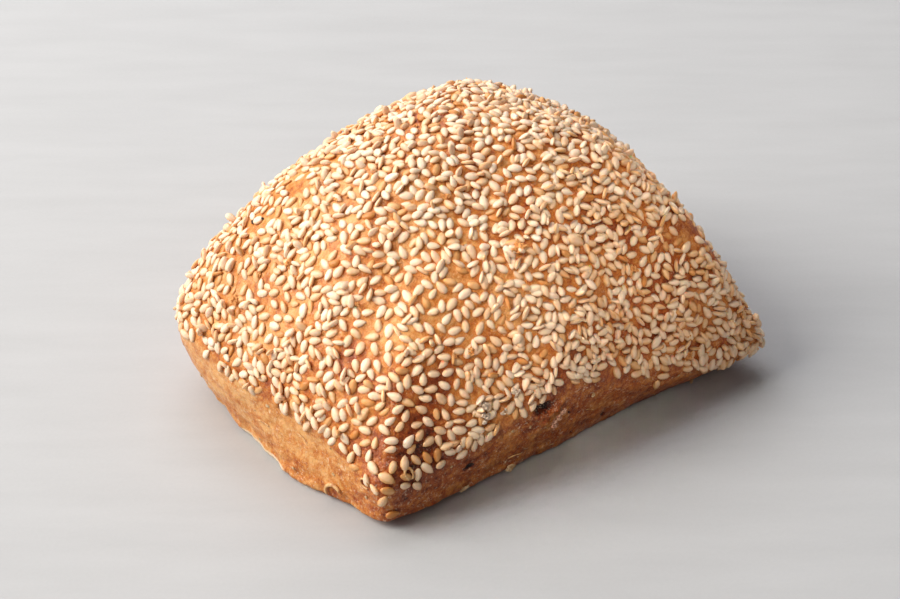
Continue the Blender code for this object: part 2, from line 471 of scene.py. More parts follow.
def ring_mesh(name: str, rings: Sequence[np.ndarray], start: Any, end: Any) -> bpy.types.Mesh:
    """Closed mesh through rings of points, with a point at each end.

    Args:
        name: Name of the mesh.
        rings: Rings of as many points each.
        start: Point that closes the first ring.
        end: Point that closes the last ring.

    Returns:
        The mesh, its faces outward.
    """
    count = len(rings[0])
    points = np.vstack([*rings, [start], [end]])
    around = np.arange(count)
    following = (around + 1) % count
    faces: list[tuple[int, ...]] = []
    for index in range(len(rings) - 1):
        upper, lower = index * count, (index + 1) * count
        faces += zip(upper + around, lower + around, lower + following, upper + following)
    first, last = len(points) - 2, len(points) - 1
    tail = (len(rings) - 1) * count
    faces += [(first, int(a), int(b)) for a, b in zip(around, following)]
    faces += [(last, int(tail + b), int(tail + a)) for a, b in zip(around, following)]
    mesh = bpy.data.meshes.new(name)
    mesh.from_pydata(points.tolist(), [], [tuple(map(int, face)) for face in faces])
    outward(mesh)
    return mesh


def outward(mesh: bpy.types.Mesh) -> None:
    """Turn a closed mesh's faces outward and shade it smooth.

    Args:
        mesh: The mesh, changed in place.
    """
    work = bmesh.new()
    work.from_mesh(mesh)
    bmesh.ops.recalc_face_normals(work, faces=work.faces)
    work.to_mesh(mesh)
    work.free()
    mesh.shade_smooth()


def set_attribute(mesh: bpy.types.Mesh, name: str, values: Sequence[Any],
                  kind: str = "FLOAT") -> None:
    """Store one value for each point of a mesh.

    Args:
        mesh: The mesh.
        name: Name that materials and node trees read.
        values: The values, flattened where they are vectors.
        kind: Blender's type of the attribute.
    """
    layer = mesh.attributes.new(name, kind, "POINT")
    key = "vector" if kind == "FLOAT_VECTOR" else "value"
    layer.data.foreach_set(key, np.asarray(values).ravel())


def new_piece(name: str, mesh: bpy.types.Mesh) -> bpy.types.Object:
    """Put a mesh in the scene as an object at the origin.

    Args:
        name: Name of the piece.
        mesh: Its mesh.

    Returns:
        The object.
    """
    piece = bpy.data.objects.new(name, mesh)
    bpy.context.scene.collection.objects.link(piece)
    return piece


def stood(place: Vector, down: Vector, normal: Vector) -> Matrix:
    """Frame at a place, whose Z axis is the normal and X the direction nearest to down.

    Args:
        place: The place.
        down: Rough direction down the skin.
        normal: Outward unit normal.

    Returns:
        The frame.
    """
    down = (down - normal * down.dot(normal)).normalized()
    turn = Matrix((down, normal.cross(down), normal)).transposed()
    return Matrix.Translation(place) @ turn.to_4x4()


class Ground:
    """The smooth crust, on which seeds and bits are set down."""

    def __init__(self, mesh: bpy.types.Mesh) -> None:
        """Take the crust before its fine relief."""
        self.tree = BVHTree.FromPolygons([vert.co.copy() for vert in mesh.vertices],
                                         [tuple(face.vertices) for face in mesh.polygons])

    def settle(self, frame: Matrix) -> Matrix:
        """Move a frame to the nearest place of the crust and stand it upright there."""
        place, normal, _, _ = self.tree.find_nearest(frame.translation)
        return stood(place, frame.to_3x3().col[0], normal)


def evaluate_nodes(piece: bpy.types.Object, tree: bpy.types.NodeTree,
                   values: dict[str, Any]) -> None:
    """Run a node tree on a piece and keep the result as its plain mesh.

    Args:
        piece: Object whose mesh goes in.
        tree: Geometry Nodes tree.
        values: Value for each named input of the tree.
    """
    modifier = piece.modifiers.new(tree.name, "NODES")
    modifier.node_group = tree
    for item in tree.interface.items_tree:
        if item.item_type == "SOCKET" and item.in_out == "INPUT" and item.name in values:
            modifier[item.identifier] = values[item.name]
    graph = bpy.context.evaluated_depsgraph_get()
    result = bpy.data.meshes.new_from_object(piece.evaluated_get(graph))
    piece.modifiers.clear()
    old, piece.data = piece.data, result
    result.name = piece.name
    bpy.data.meshes.remove(old)


def new_tree(name: str, inputs: Sequence[tuple[str, str]]) -> tuple[bpy.types.NodeTree, Any, Any]:
    """Start a Geometry Nodes tree.

    Args:
        name: Name of the tree.
        inputs: Name and socket type of each input after the geometry.

    Returns:
        The tree, its input node and its output node.
    """
    tree = bpy.data.node_groups.new(name, "GeometryNodeTree")
    tree.interface.new_socket("Geometry", in_out="INPUT", socket_type="NodeSocketGeometry")
    for label, kind in inputs:
        tree.interface.new_socket(label, in_out="INPUT", socket_type=kind)
    tree.interface.new_socket("Geometry", in_out="OUTPUT", socket_type="NodeSocketGeometry")
    return tree, add_node(tree, "NodeGroupInput"), add_node(tree, "NodeGroupOutput")


# Finishes


@dataclass(frozen=True)
class BakedCrust:
    """Crust of wholegrain dough: thin, satin, blistered, golden to red-brown."""

    pale: str = "#E3A968"
    golden: str = "#CC7F39"
    brown: str = "#A4501F"
    dark: str = "#6E2B0D"
    charred: str = "#2E150A"
    flour_and_bounce_light: str = "#EBD3B4"
    roughness: float = 0.32

    def material(self) -> bpy.types.Material:
        """Shader whose browning, flour and painted shade in the pits follow the piece's attributes.

        Returns:
            The material.
        """
        material, tree, shader, place = new_material("baked_wholegrain_crust")

        def stored(name: str) -> bpy.types.NodeSocket:
            """Attribute of the crust."""
            return add_node(tree, "ShaderNodeAttribute", attribute_name=name).outputs["Fac"]

        def clouds(length: float, detail: float, roughness: float) -> bpy.types.NodeSocket:
            """Noise of a given wave length."""
            return add_node(tree, "ShaderNodeTexNoise", {
                "Vector": place, "Scale": 1.0 / length, "Detail": detail,
                "Roughness": roughness}).outputs["Fac"]

        def plus(base: bpy.types.NodeSocket, value: bpy.types.NodeSocket, amount: float,
                 middle: float) -> bpy.types.NodeSocket:
            """Base plus a share of how far a value is from its middle."""
            part = add_node(tree, "ShaderNodeMath", {0: value, 1: amount, 2: -amount * middle},
                            operation="MULTIPLY_ADD")
            return add_node(tree, "ShaderNodeMath", {0: base, 1: part.outputs[0]},
                            operation="ADD").outputs[0]

        # Blotches of 6 mm and grain of 1 and 0.35 mm shift the browning. Bubbles of 1.7 mm, the
        # same as the relief's blisters, add painted shade: the crust is darker in the recesses
        # between them.
        bubbles = add_node(tree, "ShaderNodeTexVoronoi", {"Vector": place,
                                                          "Scale": 1 / (1.7 * MM),
                                                          "Smoothness": 0.6},
                           feature="SMOOTH_F1").outputs["Distance"]
        grain = clouds(1.0 * MM, 4.0, 0.65)
        total = plus(stored("bake"), clouds(6.0 * MM, 3.0, 0.55), 0.75, 0.5)
        total = plus(total, grain, 0.95, 0.5)
        total = plus(total, clouds(0.35 * MM, 2.0, 0.7), 0.55, 0.5)
        # Painted shade in the recesses between the blisters.
        total = plus(total, bubbles, 0.35, 0.42)
        # Painted shade: the crust is darker the deeper it lies in a burst pit.
        total = plus(total, stored("hollow"), 0.8, 0.0)
        ramp = add_node(tree, "ShaderNodeValToRGB", {0: total})
        set_ramp(ramp, ((0.0, self.pale), (0.30, self.golden), (0.58, self.brown),
                        (0.84, self.dark), (1.0, self.charred)))
        # Flour and starch sit in specks well under a millimetre wide.
        flour = stored("flour")
        cut = add_node(tree, "ShaderNodeMapRange", {
            "Value": clouds(0.65 * MM, 3.0, 0.75), "From Min": 0.56, "From Max": 0.70,
            "To Max": 1.2})
        dusted = add_node(tree, "ShaderNodeMath", {0: cut.outputs[0], 1: flour},
                          operation="MULTIPLY")
        # Over 0.75 the colour is solid: caked flour, and the painted bounce light along the front's
        # foot.
        solid = add_node(tree, "ShaderNodeMapRange", {"Value": flour, "From Min": 0.75,
                                                      "From Max": 1.0})
        dusted = add_node(tree, "ShaderNodeMath", {0: dusted.outputs[0], 1: solid.outputs[0]},
                          operation="MAXIMUM", use_clamp=True)
        colour = add_node(tree, "ShaderNodeMix", {0: dusted.outputs[0], 6: ramp.outputs["Color"],
                                                  7: linear(self.flour_and_bounce_light)}, data_type="RGBA")
        relief = plus(grain, clouds(0.45 * MM, 2.0, 0.6), 0.5, 0.0)
        bump = add_node(tree, "ShaderNodeBump", {"Height": relief, "Strength": 0.8,
                                                 "Distance": 0.34 * MM})
        # Floury crust is matt, and the rest has the sheen of gelled starch.
        sheen = add_node(tree, "ShaderNodeMapRange", {
            "Value": dusted.outputs[0], "To Min": self.roughness, "To Max": 0.8})
        feed(tree, shader, {
            "Base Color": colour.outputs[2], "Roughness": sheen.outputs[0],
            "Normal": bump.outputs[0], "IOR": 1.45, "Specular IOR Level": 0.4,
            "Subsurface Weight": 0.12, "Subsurface Radius": (1.0, 0.4, 0.15),
            "Subsurface Scale": 0.8 * MM})
        return material


@dataclass(frozen=True)
class HulledSesame:
    """Hulled sesame: oily ivory seed, satin, a little translucent, some toasted golden."""

    pale: str = "#FAE1C6"
    cream: str = "#F3D2AF"
    golden: str = "#E4AD71"
    toasted: str = "#CB8440"
    roughness: float = 0.40

    def material(self) -> bpy.types.Material:
        """Shader whose toasting follows each seed's tone, with painted shade and glow on each
        seed's rim and tip.

        Returns:
            The material.
        """
        material, tree, shader, place = new_material("hulled_sesame")
        tone = add_node(tree, "ShaderNodeAttribute", attribute_name="tone").outputs["Fac"]
        edge = add_node(tree, "ShaderNodeAttribute", attribute_name="edge").outputs["Fac"]
        cloud = add_node(tree, "ShaderNodeTexNoise", {"Vector": place, "Scale": 1 / (1.4 * MM),
                                                      "Detail": 2.0})
        mottled = add_node(tree, "ShaderNodeMath", {0: cloud.outputs["Fac"], 1: 0.4, 2: -0.2},
                           operation="MULTIPLY_ADD")
        total = add_node(tree, "ShaderNodeMath", {0: tone, 1: mottled.outputs[0]},
                         operation="ADD")
        # Painted shade and glow: each seed's rim and tip are tinted golden, as light through the
        # thin rim and shade at the crust would make them.
        total = add_node(tree, "ShaderNodeMath", {0: edge, 1: 0.34, 2: total.outputs[0]},
                         operation="MULTIPLY_ADD", use_clamp=True)
        ramp = add_node(tree, "ShaderNodeValToRGB", {0: total.outputs[0]})
        set_ramp(ramp, ((0.0, self.pale), (0.35, self.cream), (0.7, self.golden),
                        (1.0, self.toasted)))
        # The skin is faintly pitted, every 0.35 mm.
        skin = add_node(tree, "ShaderNodeTexNoise", {"Vector": place, "Scale": 1 / (0.35 * MM),
                                                     "Detail": 1.0})
        bump = add_node(tree, "ShaderNodeBump", {"Height": skin.outputs["Fac"],
                                                 "Strength": 0.25, "Distance": 0.06 * MM})
        feed(tree, shader, {
            "Base Color": ramp.outputs["Color"], "Normal": bump.outputs[0],
            "Roughness": self.roughness, "IOR": 1.47, "Specular IOR Level": 0.42,
            "Subsurface Weight": 0.25, "Subsurface Radius": (1.0, 0.55, 0.3),
            "Subsurface Scale": 0.6 * MM})
        return material


@dataclass(frozen=True)
class DryMatter:
    """Dry bits on the crust, such as flour, bran and toasted crumbs: rough and matt."""

    name: str
    light: str
    dark: str
    grain: float
    roughness: float = 0.85

    def material(self) -> bpy.types.Material:
        """Matt shader mottled between two colours.

        Returns:
            The material.
        """
        material, tree, shader, place = new_material(self.name)
        cloud = add_node(tree, "ShaderNodeTexNoise", {"Vector": place, "Scale": 1 / self.grain,
                                                      "Detail": 3.0, "Roughness": 0.6})
        ramp = add_node(tree, "ShaderNodeValToRGB", {0: cloud.outputs["Fac"]})
        set_ramp(ramp, ((0.35, self.dark), (0.65, self.light)))
        bump = add_node(tree, "ShaderNodeBump", {"Height": cloud.outputs["Fac"],
                                                 "Strength": 0.5, "Distance": 0.1 * MM})
        feed(tree, shader, {"Base Color": ramp.outputs["Color"], "Normal": bump.outputs[0],
                            "Roughness": self.roughness})
        return material


@dataclass(frozen=True)
class BakingPaper:
    """White wrapping paper: uncoated, matt, with faint long fibres."""

    sheet: str = "#BBBAB8"
    fibre: str = "#B5B4B2"

    def material(self) -> bpy.types.Material:
        """Matt white shader with fibres of a few centimetres.

        Returns:
            The material.
        """
        material, tree, shader, place = new_material("uncoated_white_paper")
        # Fibres lie across the view, 4 cm long and 8 mm apart.
        stretch = add_node(tree, "ShaderNodeMapping", {
            "Vector": place, "Rotation": (0.0, 0.0, math.radians(VIEW_TURN)),
            "Scale": (0.04, 0.008, 1.0)}, vector_type="TEXTURE")
        fibres = add_node(tree, "ShaderNodeTexNoise", {
            "Vector": stretch.outputs[0], "Scale": 1.0, "Detail": 5.0, "Roughness": 0.55})
        tooth = add_node(tree, "ShaderNodeTexNoise", {
            "Vector": place, "Scale": 1 / (0.8 * MM), "Detail": 3.0, "Roughness": 0.7})
        total = add_node(tree, "ShaderNodeMath", {
            0: tooth.outputs["Fac"], 1: 0.5, 2: fibres.outputs["Fac"]}, operation="MULTIPLY_ADD")
        ramp = add_node(tree, "ShaderNodeValToRGB", {0: total.outputs[0]})
        set_ramp(ramp, ((0.5, self.fibre), (1.0, self.sheet)))
        feed(tree, shader, {"Base Color": ramp.outputs["Color"], "Roughness": 0.9,
                            "Specular IOR Level": 0.2})
        return material


# Crust


@dataclass
class Crust:
    """The bare roll: dome, band and sole, with its blisters, burst bubbles and browning."""

    skin: RollSkin
    finish: BakedCrust = field(default_factory=BakedCrust)
    columns: int = 560
    dome_rings: int = 130
    band_rings: int = 30
    sole_rings: int = 6
    lump: float = 4.5 * MM
    lump_height: float = 0.22 * MM
    bubble: float = 1.7 * MM
    bubble_depth: float = 0.26 * MM
    grain: float = 0.8 * MM
    grain_depth: float = 0.14 * MM
    rounding: float = 2.2 * MM
    rounding_steps: int = 18
    # Burst bubbles in the front band: place, then half sizes across, down and deep.
    pits: tuple[tuple[Spot, float, float], ...] = (
        (Spot(-107.4, 1.14, 2.4 * MM), 1.15 * MM, 2.0 * MM),
        (Spot(-132.2, 1.46, 0.95 * MM), 0.45 * MM, 0.9 * MM),
        (Spot(-94.2, 1.86, 0.5 * MM), 0.35 * MM, 0.6 * MM),
        (Spot(-80.0, 1.82, 0.5 * MM), 0.4 * MM, 0.6 * MM),
        (Spot(-97.0, 1.45, 0.35 * MM), 0.25 * MM, 0.4 * MM),
    )
    # The torn crumb: where it stands up, and where flour clings to it.
    tear: Spot = Spot(*TORN_PLACE, 2.2 * MM)
    tear_height: float = 0.9 * MM
    tear_flour: Spot = Spot(*TORN_PLACE, 2.1 * MM, 0.30)
    # Where the crust is browner or paler: mostly where it caught more heat or less. The broad spots
    # at -70 and -45 degrees make the right of the dome darker, and the one at 175 degrees makes the
    # left paler.
    browned_and_shaded: tuple[Spot, ...] = (
        Spot(-144.0, 0.95, 10.0 * MM, 0.36), Spot(-148.0, 1.06, 8.0 * MM, 0.14),
        Spot(-152.0, 0.80, 7.0 * MM, 0.06), Spot(-70.0, 0.85, 24.0 * MM, 0.14),
        Spot(-45.0, 0.80, 16.0 * MM, 0.14), Spot(175.0, 0.55, 22.0 * MM, -0.18),
        Spot(-122.0, 0.72, 15.0 * MM, -0.16), Spot(150.0, 0.90, 12.0 * MM, -0.05),
        Spot(-147.0, 1.5, 6.0 * MM, 0.22), Spot(-150.5, 0.78, 4.0 * MM, -0.22),
        Spot(-161.8, 0.855, 2.4 * MM, 0.30), Spot(-139.0, 0.89, 3.5 * MM, 0.18),
        Spot(153.0, 0.585, 3.0 * MM, 0.15), Spot(-96.0, 0.70, 5.0 * MM, 0.12),
        # The next two are painted shade: soft shade round the largest burst pit, and shade in the
        # curl of the husk at the foot of the left side.
        Spot(-107.6, 1.13, 3.0 * MM, 0.12), Spot(-161.8, 1.88, 1.3 * MM, 0.50),
        Spot(-158.0, 1.60, 12.0 * MM, 0.14), Spot(*TORN_PLACE, 2.0 * MM, -0.25),
    )

    def build(self) -> tuple[bpy.types.Object, Ground]:
        """Make the crust with its relief and its attributes.

        Returns:
            The crust piece, and its smooth form for what lies on it.
        """
        theta = np.linspace(0.0, math.tau, self.columns, endpoint=False)
        heights = np.concatenate([self.skin.even_stations(0.0, 1.0, self.dome_rings),
                                  self.skin.even_stations(1.0, 2.0, self.band_rings)])
        grid = np.array([self.skin.swelled(theta, np.full(self.columns, s)) for s in heights])
        grid = self.softened(grid, theta, heights)
        rings = [*grid, *self.sole(grid[-1])]
        crown = self.skin.swelled([0.0], [0.0])[0]
        mesh = ring_mesh("crust", rings, crown, np.array([*PLAN_CENTRE, 0.0]))
        ground = Ground(mesh)
        stations = np.concatenate([np.repeat(heights, self.columns),
                                   np.full(self.sole_rings * self.columns, SOLE_STATION),
                                   [0.0, SOLE_STATION]])
        angles = np.concatenate([np.tile(theta, len(rings)), [0.0, 0.0]])
        points = np.array([vert.co for vert in mesh.vertices])
        normals = np.array([vert.normal for vert in mesh.vertices])
        lumps = self.lump_height * noise_at(points, self.lump, 2, 71.0)
        lumps += 0.8 * self.lump_height * (noise_at(points, 2.4 * MM, 2, 77.0)
                                           * self.left_band(angles, stations))
        lumps += self.tear_height * (self.skin.nearness(points, self.tear)
                                     * (0.6 + noise_at(points, 0.9 * MM, 2, 79.0)))
        lumps *= 1.0 - smooth(1.9, 2.0, stations)
        points += normals * lumps[:, None]
        points, hollow = self.burst(points, normals)
        self.shape_foot(points, angles, stations)
        mesh.vertices.foreach_set("co", points.ravel())
        # Depth in the pits, kept to paint shade there.
        set_attribute(mesh, "hollow", hollow)
        set_attribute(mesh, "bake", self.browning(points, angles, stations))
        set_attribute(mesh, "flour", self.flour_and_bounce_light(points, angles, stations))
        set_attribute(mesh, "relief", self.relief_share(points, stations))
        piece = new_piece("crust", mesh)
        material = self.finish.material()
        evaluate_nodes(piece, self.relief_tree(), {
            "Bubble size": self.bubble, "Bubble depth": self.bubble_depth,
            "Grain size": self.grain, "Grain depth": self.grain_depth, "Crust": material})
        return piece, ground

    def softened(self, grid: np.ndarray, theta: np.ndarray, heights: np.ndarray) -> np.ndarray:
        """Round the rim, and most of all the front left corner.

        Args:
            grid: Rings of points.
            theta: Plan angle of each column.
            heights: Station of each ring.

        Returns:
            The rounded rings.
        """
        turn = np.degrees(theta) % 360.0
        corner = np.exp(-((turn - FRONT_LEFT_TURN) / 9.0) ** 2)
        front = plateau(218.0, 232.0, 300.0, 312.0, turn)
        rim = grid[self.dome_rings - 1]
        away = np.linalg.norm(grid - rim[None], axis=2)
        reach = self.rounding * (1.0 + 1.6 * corner)
        share = np.exp(-(away / reach) ** 2) * (0.9 - 0.45 * front)
        edge = np.exp(-((turn - FRONT_LEFT_TURN) / 5.0) ** 2)
        edge = edge[None] * smooth(0.86, 0.95, heights)[:, None]
        share *= (1.0 - smooth(1.80, 1.96, heights))[:, None]
        share = 0.5 * np.maximum(share, edge)[..., None]
        foot = grid[-1, :, 2].copy()
        for _ in range(self.rounding_steps):
            padded = np.concatenate([grid[:1], grid, grid[-1:]])
            mean = 0.25 * (padded[:-2] + padded[2:] + np.roll(grid, 1, axis=1)
                           + np.roll(grid, -1, axis=1))
            grid = grid + share * (mean - grid)
            grid[-1, :, 2] = foot
        return grid

    def sole(self, foot: np.ndarray) -> list[np.ndarray]:
        """Rings of the rounded edge and of the flat sole.

        Args:
            foot: The band's last ring.

        Returns:
            Rings from the edge to near the middle.
        """
        centre = np.array(PLAN_CENTRE)
        out = foot[:, :2] - centre
        length = np.linalg.norm(out, axis=1, keepdims=True)
        lift = foot[:, 2:3] - SOLE_EDGE
        edge = out * (1.0 - (SOLE_INSET + 1.5 * lift) / length)
        shares = np.linspace(1.0, 0.12, self.sole_rings)
        return [np.column_stack([centre + edge * share, np.zeros(len(foot))])
                for share in shares]

    def burst(self, points: np.ndarray, normals: np.ndarray) -> tuple[np.ndarray, np.ndarray]:
        """Sink the burst bubbles into the crust and raise torn lips below them.

        Args:
            points: Points of the crust.
            normals: Outward direction at each point.

        Returns:
            The moved points, and how deep in a pit each one is, from 0 to 1, which the shader
            paints as shade.
        """
        hollow = np.zeros(len(points))
        nearby = 6.0 * MM
        for spot, high, deep in self.pits:
            local = np.linalg.inv(np.array(self.skin.at(spot)))
            inside = (points @ local[:3, :3].T) + local[:3, 3]
            ragged = 1.0 + 0.35 * noise_at(points, 0.9 * MM, 1, 3.0)
            reach = np.sqrt((inside[:, 1] / spot.radius) ** 2 + (inside[:, 0] / high) ** 2)
            level = np.abs(inside[:, 2]) < nearby
            near = np.exp(-(reach * ragged) ** 3) * level
            lip = np.exp(-((reach - 1.7) / 0.45) ** 2) * (inside[:, 0] > 0.0) * level
            points = points - normals * (deep * near)[:, None]
            points = points + normals * (0.18 * deep * lip * ragged)[:, None]
            hollow = np.maximum(hollow, near)
        return points, hollow

    def shape_foot(self, points: np.ndarray, angles: np.ndarray, stations: np.ndarray) -> None:
        """Make the foot wavy, and push out the thin ledge at the foot of the left side.

        Args:
            points: Points of the crust, moved in place.
            angles: Plan angle of each point.
            stations: Station of each point.
        """
        along = plateau(150.0, 164.0, 186.0, 200.0, np.degrees(angles))
        ledge = along * smooth(1.90, 1.97, stations)
        push = 0.55 * ledge * (0.6 + 0.6 * noise_at(points, 3.0 * MM, 2, 5.0))
        wave = 0.55 * noise_at(points, 7.0 * MM, 1, 15.0)
        wave += 0.35 * noise_at(points, 2.4 * MM, 2, 19.0)
        push += wave * smooth(1.55, 1.95, stations)
        push *= MM * (stations < SOLE_STATION)
        out = points[:, :2] - np.array(PLAN_CENTRE)
        out /= np.maximum(np.linalg.norm(out, axis=1, keepdims=True), 1e-9)
        points[:, :2] += out * push[:, None]

    def left_band(self, angles: np.ndarray, stations: np.ndarray) -> np.ndarray:
        """Share of the golden left band at each point."""
        return self.left_share(angles) * smooth(1.0, 1.1, stations)

    @staticmethod
    def left_share(angles: np.ndarray) -> np.ndarray:
        """Share of the left side at each plan angle."""
        return plateau(135.0, 160.0, 208.0, 222.0, np.degrees(angles) % 360.0)

    def browning(self, points: np.ndarray, angles: np.ndarray,
                 stations: np.ndarray) -> np.ndarray:
        """How far each point is baked, from 0, pale, to 1, charred, with painted shade in two of
        the spots.

        Args:
            points: Points of the crust.
            angles: Plan angle of each point.
            stations: Station of each point.

        Returns:
            One value for each point.
        """
        spots = sum(self.skin.nearness(points, spot) for spot in self.browned_and_shaded)
        dome = 0.31 + 0.20 * noise_at(points, 13.0 * MM, 2, 11.0) + spots
        # The left band is golden, the front band brown, and the hidden sides lie between.
        left = self.left_share(angles)
        front = plateau(208.0, 222.0, 318.0, 335.0, np.degrees(angles) % 360.0)
        streaks = 0.12 * noise_at(points * np.array([0.5, 0.5, 2.0]), 4.0 * MM, 3, 23.0)
        band = 0.40 + front * 0.07 - left * 0.30 + streaks * (1.0 + 0.6 * left) + 0.8 * spots
        band += 0.10 * left * smooth(1.45, 1.9, stations)
        sole = 0.62 + 0.15 * noise_at(points, 9.0 * MM, 2, 31.0)
        total = blend(dome, band, smooth(0.985, 1.06, stations))
        return blend(total, sole, smooth(2.0, 2.15, stations))

    def flour_and_bounce_light(self, points: np.ndarray, angles: np.ndarray,
                stations: np.ndarray) -> np.ndarray:
        """Flour left on each point, from 0 to 1, and painted light along the front's foot.

        Args:
            points: Points of the crust.
            angles: Plan angle of each point.
            stations: Station of each point.

        Returns:
            One value for each point.
        """
        turn = np.degrees(angles) % 360.0
        band = smooth(1.0, 1.1, stations)
        flour = 0.24 + 0.36 * band + 0.30 * noise_at(points, 6.0 * MM, 2, 41.0)
        flour += self.skin.nearness(points, self.tear_flour)
        # Only the ledge on the left is caked white with flour. The front's foot is painted just as
        # pale: painted light bounced up from the paper.
        flour = np.minimum(flour, 0.75)
        ledge = plateau(160.0, 167.0, 182.0, 188.0, turn)
        flour = np.maximum(flour, ledge * smooth(1.90, 1.97, stations))
        # Painted light bounced from the paper, laid along the front's foot as flour.
        front = plateau(224.0, 232.0, 262.0, 285.0, turn)
        ragged = 0.75 + 0.5 * noise_at(points, 3.0 * MM, 2, 47.0)
        flour = np.maximum(flour, front * smooth(1.93, 1.99, stations) * ragged)
        return np.clip(flour, 0.0, 1.0)

    def relief_share(self, points: np.ndarray, stations: np.ndarray) -> np.ndarray:
        """Share of the relief at each point: more where the crust is dark, none on the sole.

        Args:
            points: Points of the crust.
            stations: Station of each point.

        Returns:
            One value for each point.
        """
        share = 1.0 + self.skin.nearness(points, Spot(-143.0, 0.93, 14.0 * MM, 0.9))
        share = share * blend(1.0, 0.75, smooth(1.0, 1.05, stations))
        return share * (1.0 - smooth(1.97, 2.05, stations))

    def relief_tree(self) -> bpy.types.NodeTree:
        """Node tree that raises bubbles and grain along the normal.

        Returns:
            The tree.
        """
        tree, source, target = new_tree("crust_relief", (
            ("Bubble size", "NodeSocketFloat"), ("Bubble depth", "NodeSocketFloat"),
            ("Grain size", "NodeSocketFloat"), ("Grain depth", "NodeSocketFloat"),
            ("Crust", "NodeSocketMaterial")))
        place = add_node(tree, "GeometryNodeInputPosition").outputs[0]
        normal = add_node(tree, "GeometryNodeInputNormal").outputs[0]
        share = add_node(tree, "GeometryNodeInputNamedAttribute", {"Name": "relief"},
                         data_type="FLOAT").outputs[0]

        def pattern(size: str) -> bpy.types.NodeSocket:
            """Scale of a pattern from its size."""
            return add_node(tree, "ShaderNodeMath", {0: 1.0, 1: source.outputs[size]},
                            operation="DIVIDE").outputs[0]

        bubbles = add_node(tree, "ShaderNodeTexVoronoi", {
            "Vector": place, "Scale": pattern("Bubble size"), "Smoothness": 0.6},
            feature="SMOOTH_F1")
        grain = add_node(tree, "ShaderNodeTexNoise", {
            "Vector": place, "Scale": pattern("Grain size"), "Detail": 2.0, "Roughness": 0.6})
        raised = add_node(tree, "ShaderNodeMapRange", {
            "Value": bubbles.outputs["Distance"], "From Min": 0.0, "From Max": 0.9,
            "To Min": 0.5, "To Max": -0.5})
        centred = add_node(tree, "ShaderNodeMath", {0: grain.outputs[0], 1: 0.5},
                           operation="SUBTRACT")
        low = add_node(tree, "ShaderNodeMath", {0: raised.outputs[0],
                                                1: source.outputs["Bubble depth"]},
                       operation="MULTIPLY")
        high = add_node(tree, "ShaderNodeMath", {0: centred.outputs[0],
                                                 1: source.outputs["Grain depth"],
                                                 2: low.outputs[0]}, operation="MULTIPLY_ADD")
        total = add_node(tree, "ShaderNodeMath", {0: high.outputs[0], 1: share},
                         operation="MULTIPLY")
        offset = add_node(tree, "ShaderNodeVectorMath", {0: normal, "Scale": total.outputs[0]},
                          operation="SCALE")
        moved = add_node(tree, "GeometryNodeSetPosition", {
            "Geometry": source.outputs["Geometry"], "Offset": offset.outputs[0]})
        dressed = add_node(tree, "GeometryNodeSetMaterial", {
            "Geometry": moved.outputs[0], "Material": source.outputs["Crust"]})
        tree.links.new(dressed.outputs[0], target.inputs["Geometry"])
        return tree


# Sesame


class Lie(Enum):
    """How a seed lies on the crust."""

    FLAT = "flat"
    LEANING = "leaning"
    ON_EDGE = "on edge"
    PROUD = "proud"
    SUNK = "sunk"


# Least distance between the inner lines of neighbouring seeds, in widths of the seed.
SEED_ROOM = {Lie.FLAT: 0.84, Lie.LEANING: 0.60, Lie.ON_EDGE: 0.53, Lie.PROUD: 0.55,
             Lie.SUNK: 0.84}


@dataclass(frozen=True)
class SeedForm:
    """Outline of one kind of seed: where it is widest, how it tapers, bows and flattens."""

    belly: float
    taper: float
    bow: float
    squareness: float

    def mesh(self, name: str) -> bpy.types.Mesh:
        """Flat drop of the large seed's size, blunt at -X and pointed at +X.

        Args:
            name: Name of the mesh.

        Returns:
            The mesh, with an edge attribute of painted shade and glow that is 1 on the rim and the
            tip.
        """
        sides = 7
        along = np.array([0.06, 0.28, 0.56, 0.84])
        peak = self.belly / (self.belly + self.taper)
        top = peak ** self.belly * (1.0 - peak) ** self.taper
        girth = along ** self.belly * (1.0 - along) ** self.taper / top
        rings, rim_shading = [], []
        for t, g in zip(along, girth):
            ring = []
            for k in range(sides):
                turn = math.tau * k / sides
                c, s = math.cos(turn), math.sin(turn)
                y = math.copysign(abs(c) ** self.squareness, c)
                z = math.copysign(abs(s) ** 0.9, s)
                ring.append((SEED_LENGTH * (t - 0.5), 0.5 * SEED_WIDTH * g * y
                             + self.bow * SEED_LENGTH * (t - 0.5) ** 2,
                             0.5 * SEED_THICKNESS * g ** 0.8 * z))
                rim_shading.append(max(abs(c) ** 3, 1.4 * max(0.0, t - 0.6)))
            rings.append(np.array(ring))
        bow = self.bow * SEED_LENGTH * 0.25
        mesh = ring_mesh(name, rings, (-0.5 * SEED_LENGTH, bow, 0.0), (0.5 * SEED_LENGTH, bow, 0.0))
        set_attribute(mesh, "edge", [*rim_shading, 0.3, 1.0])
        return mesh


@dataclass
class Seed:
    """One seed in place: its matrix, size, tone from pale to toasted, and form."""

    matrix: Matrix
    size: float
    tone: float
    form: int

    def core(self) -> np.ndarray:
        """Three points along the seed's inner line, for the distance to its neighbours.

        Returns:
            The points, one a row.
        """
        axis = np.array(self.matrix.to_3x3().col[0])
        half = 0.5 * (SEED_LENGTH - SEED_WIDTH) * self.size
        middle = np.array(self.matrix.translation)
        return np.array([middle - axis * half, middle, middle + axis * half])


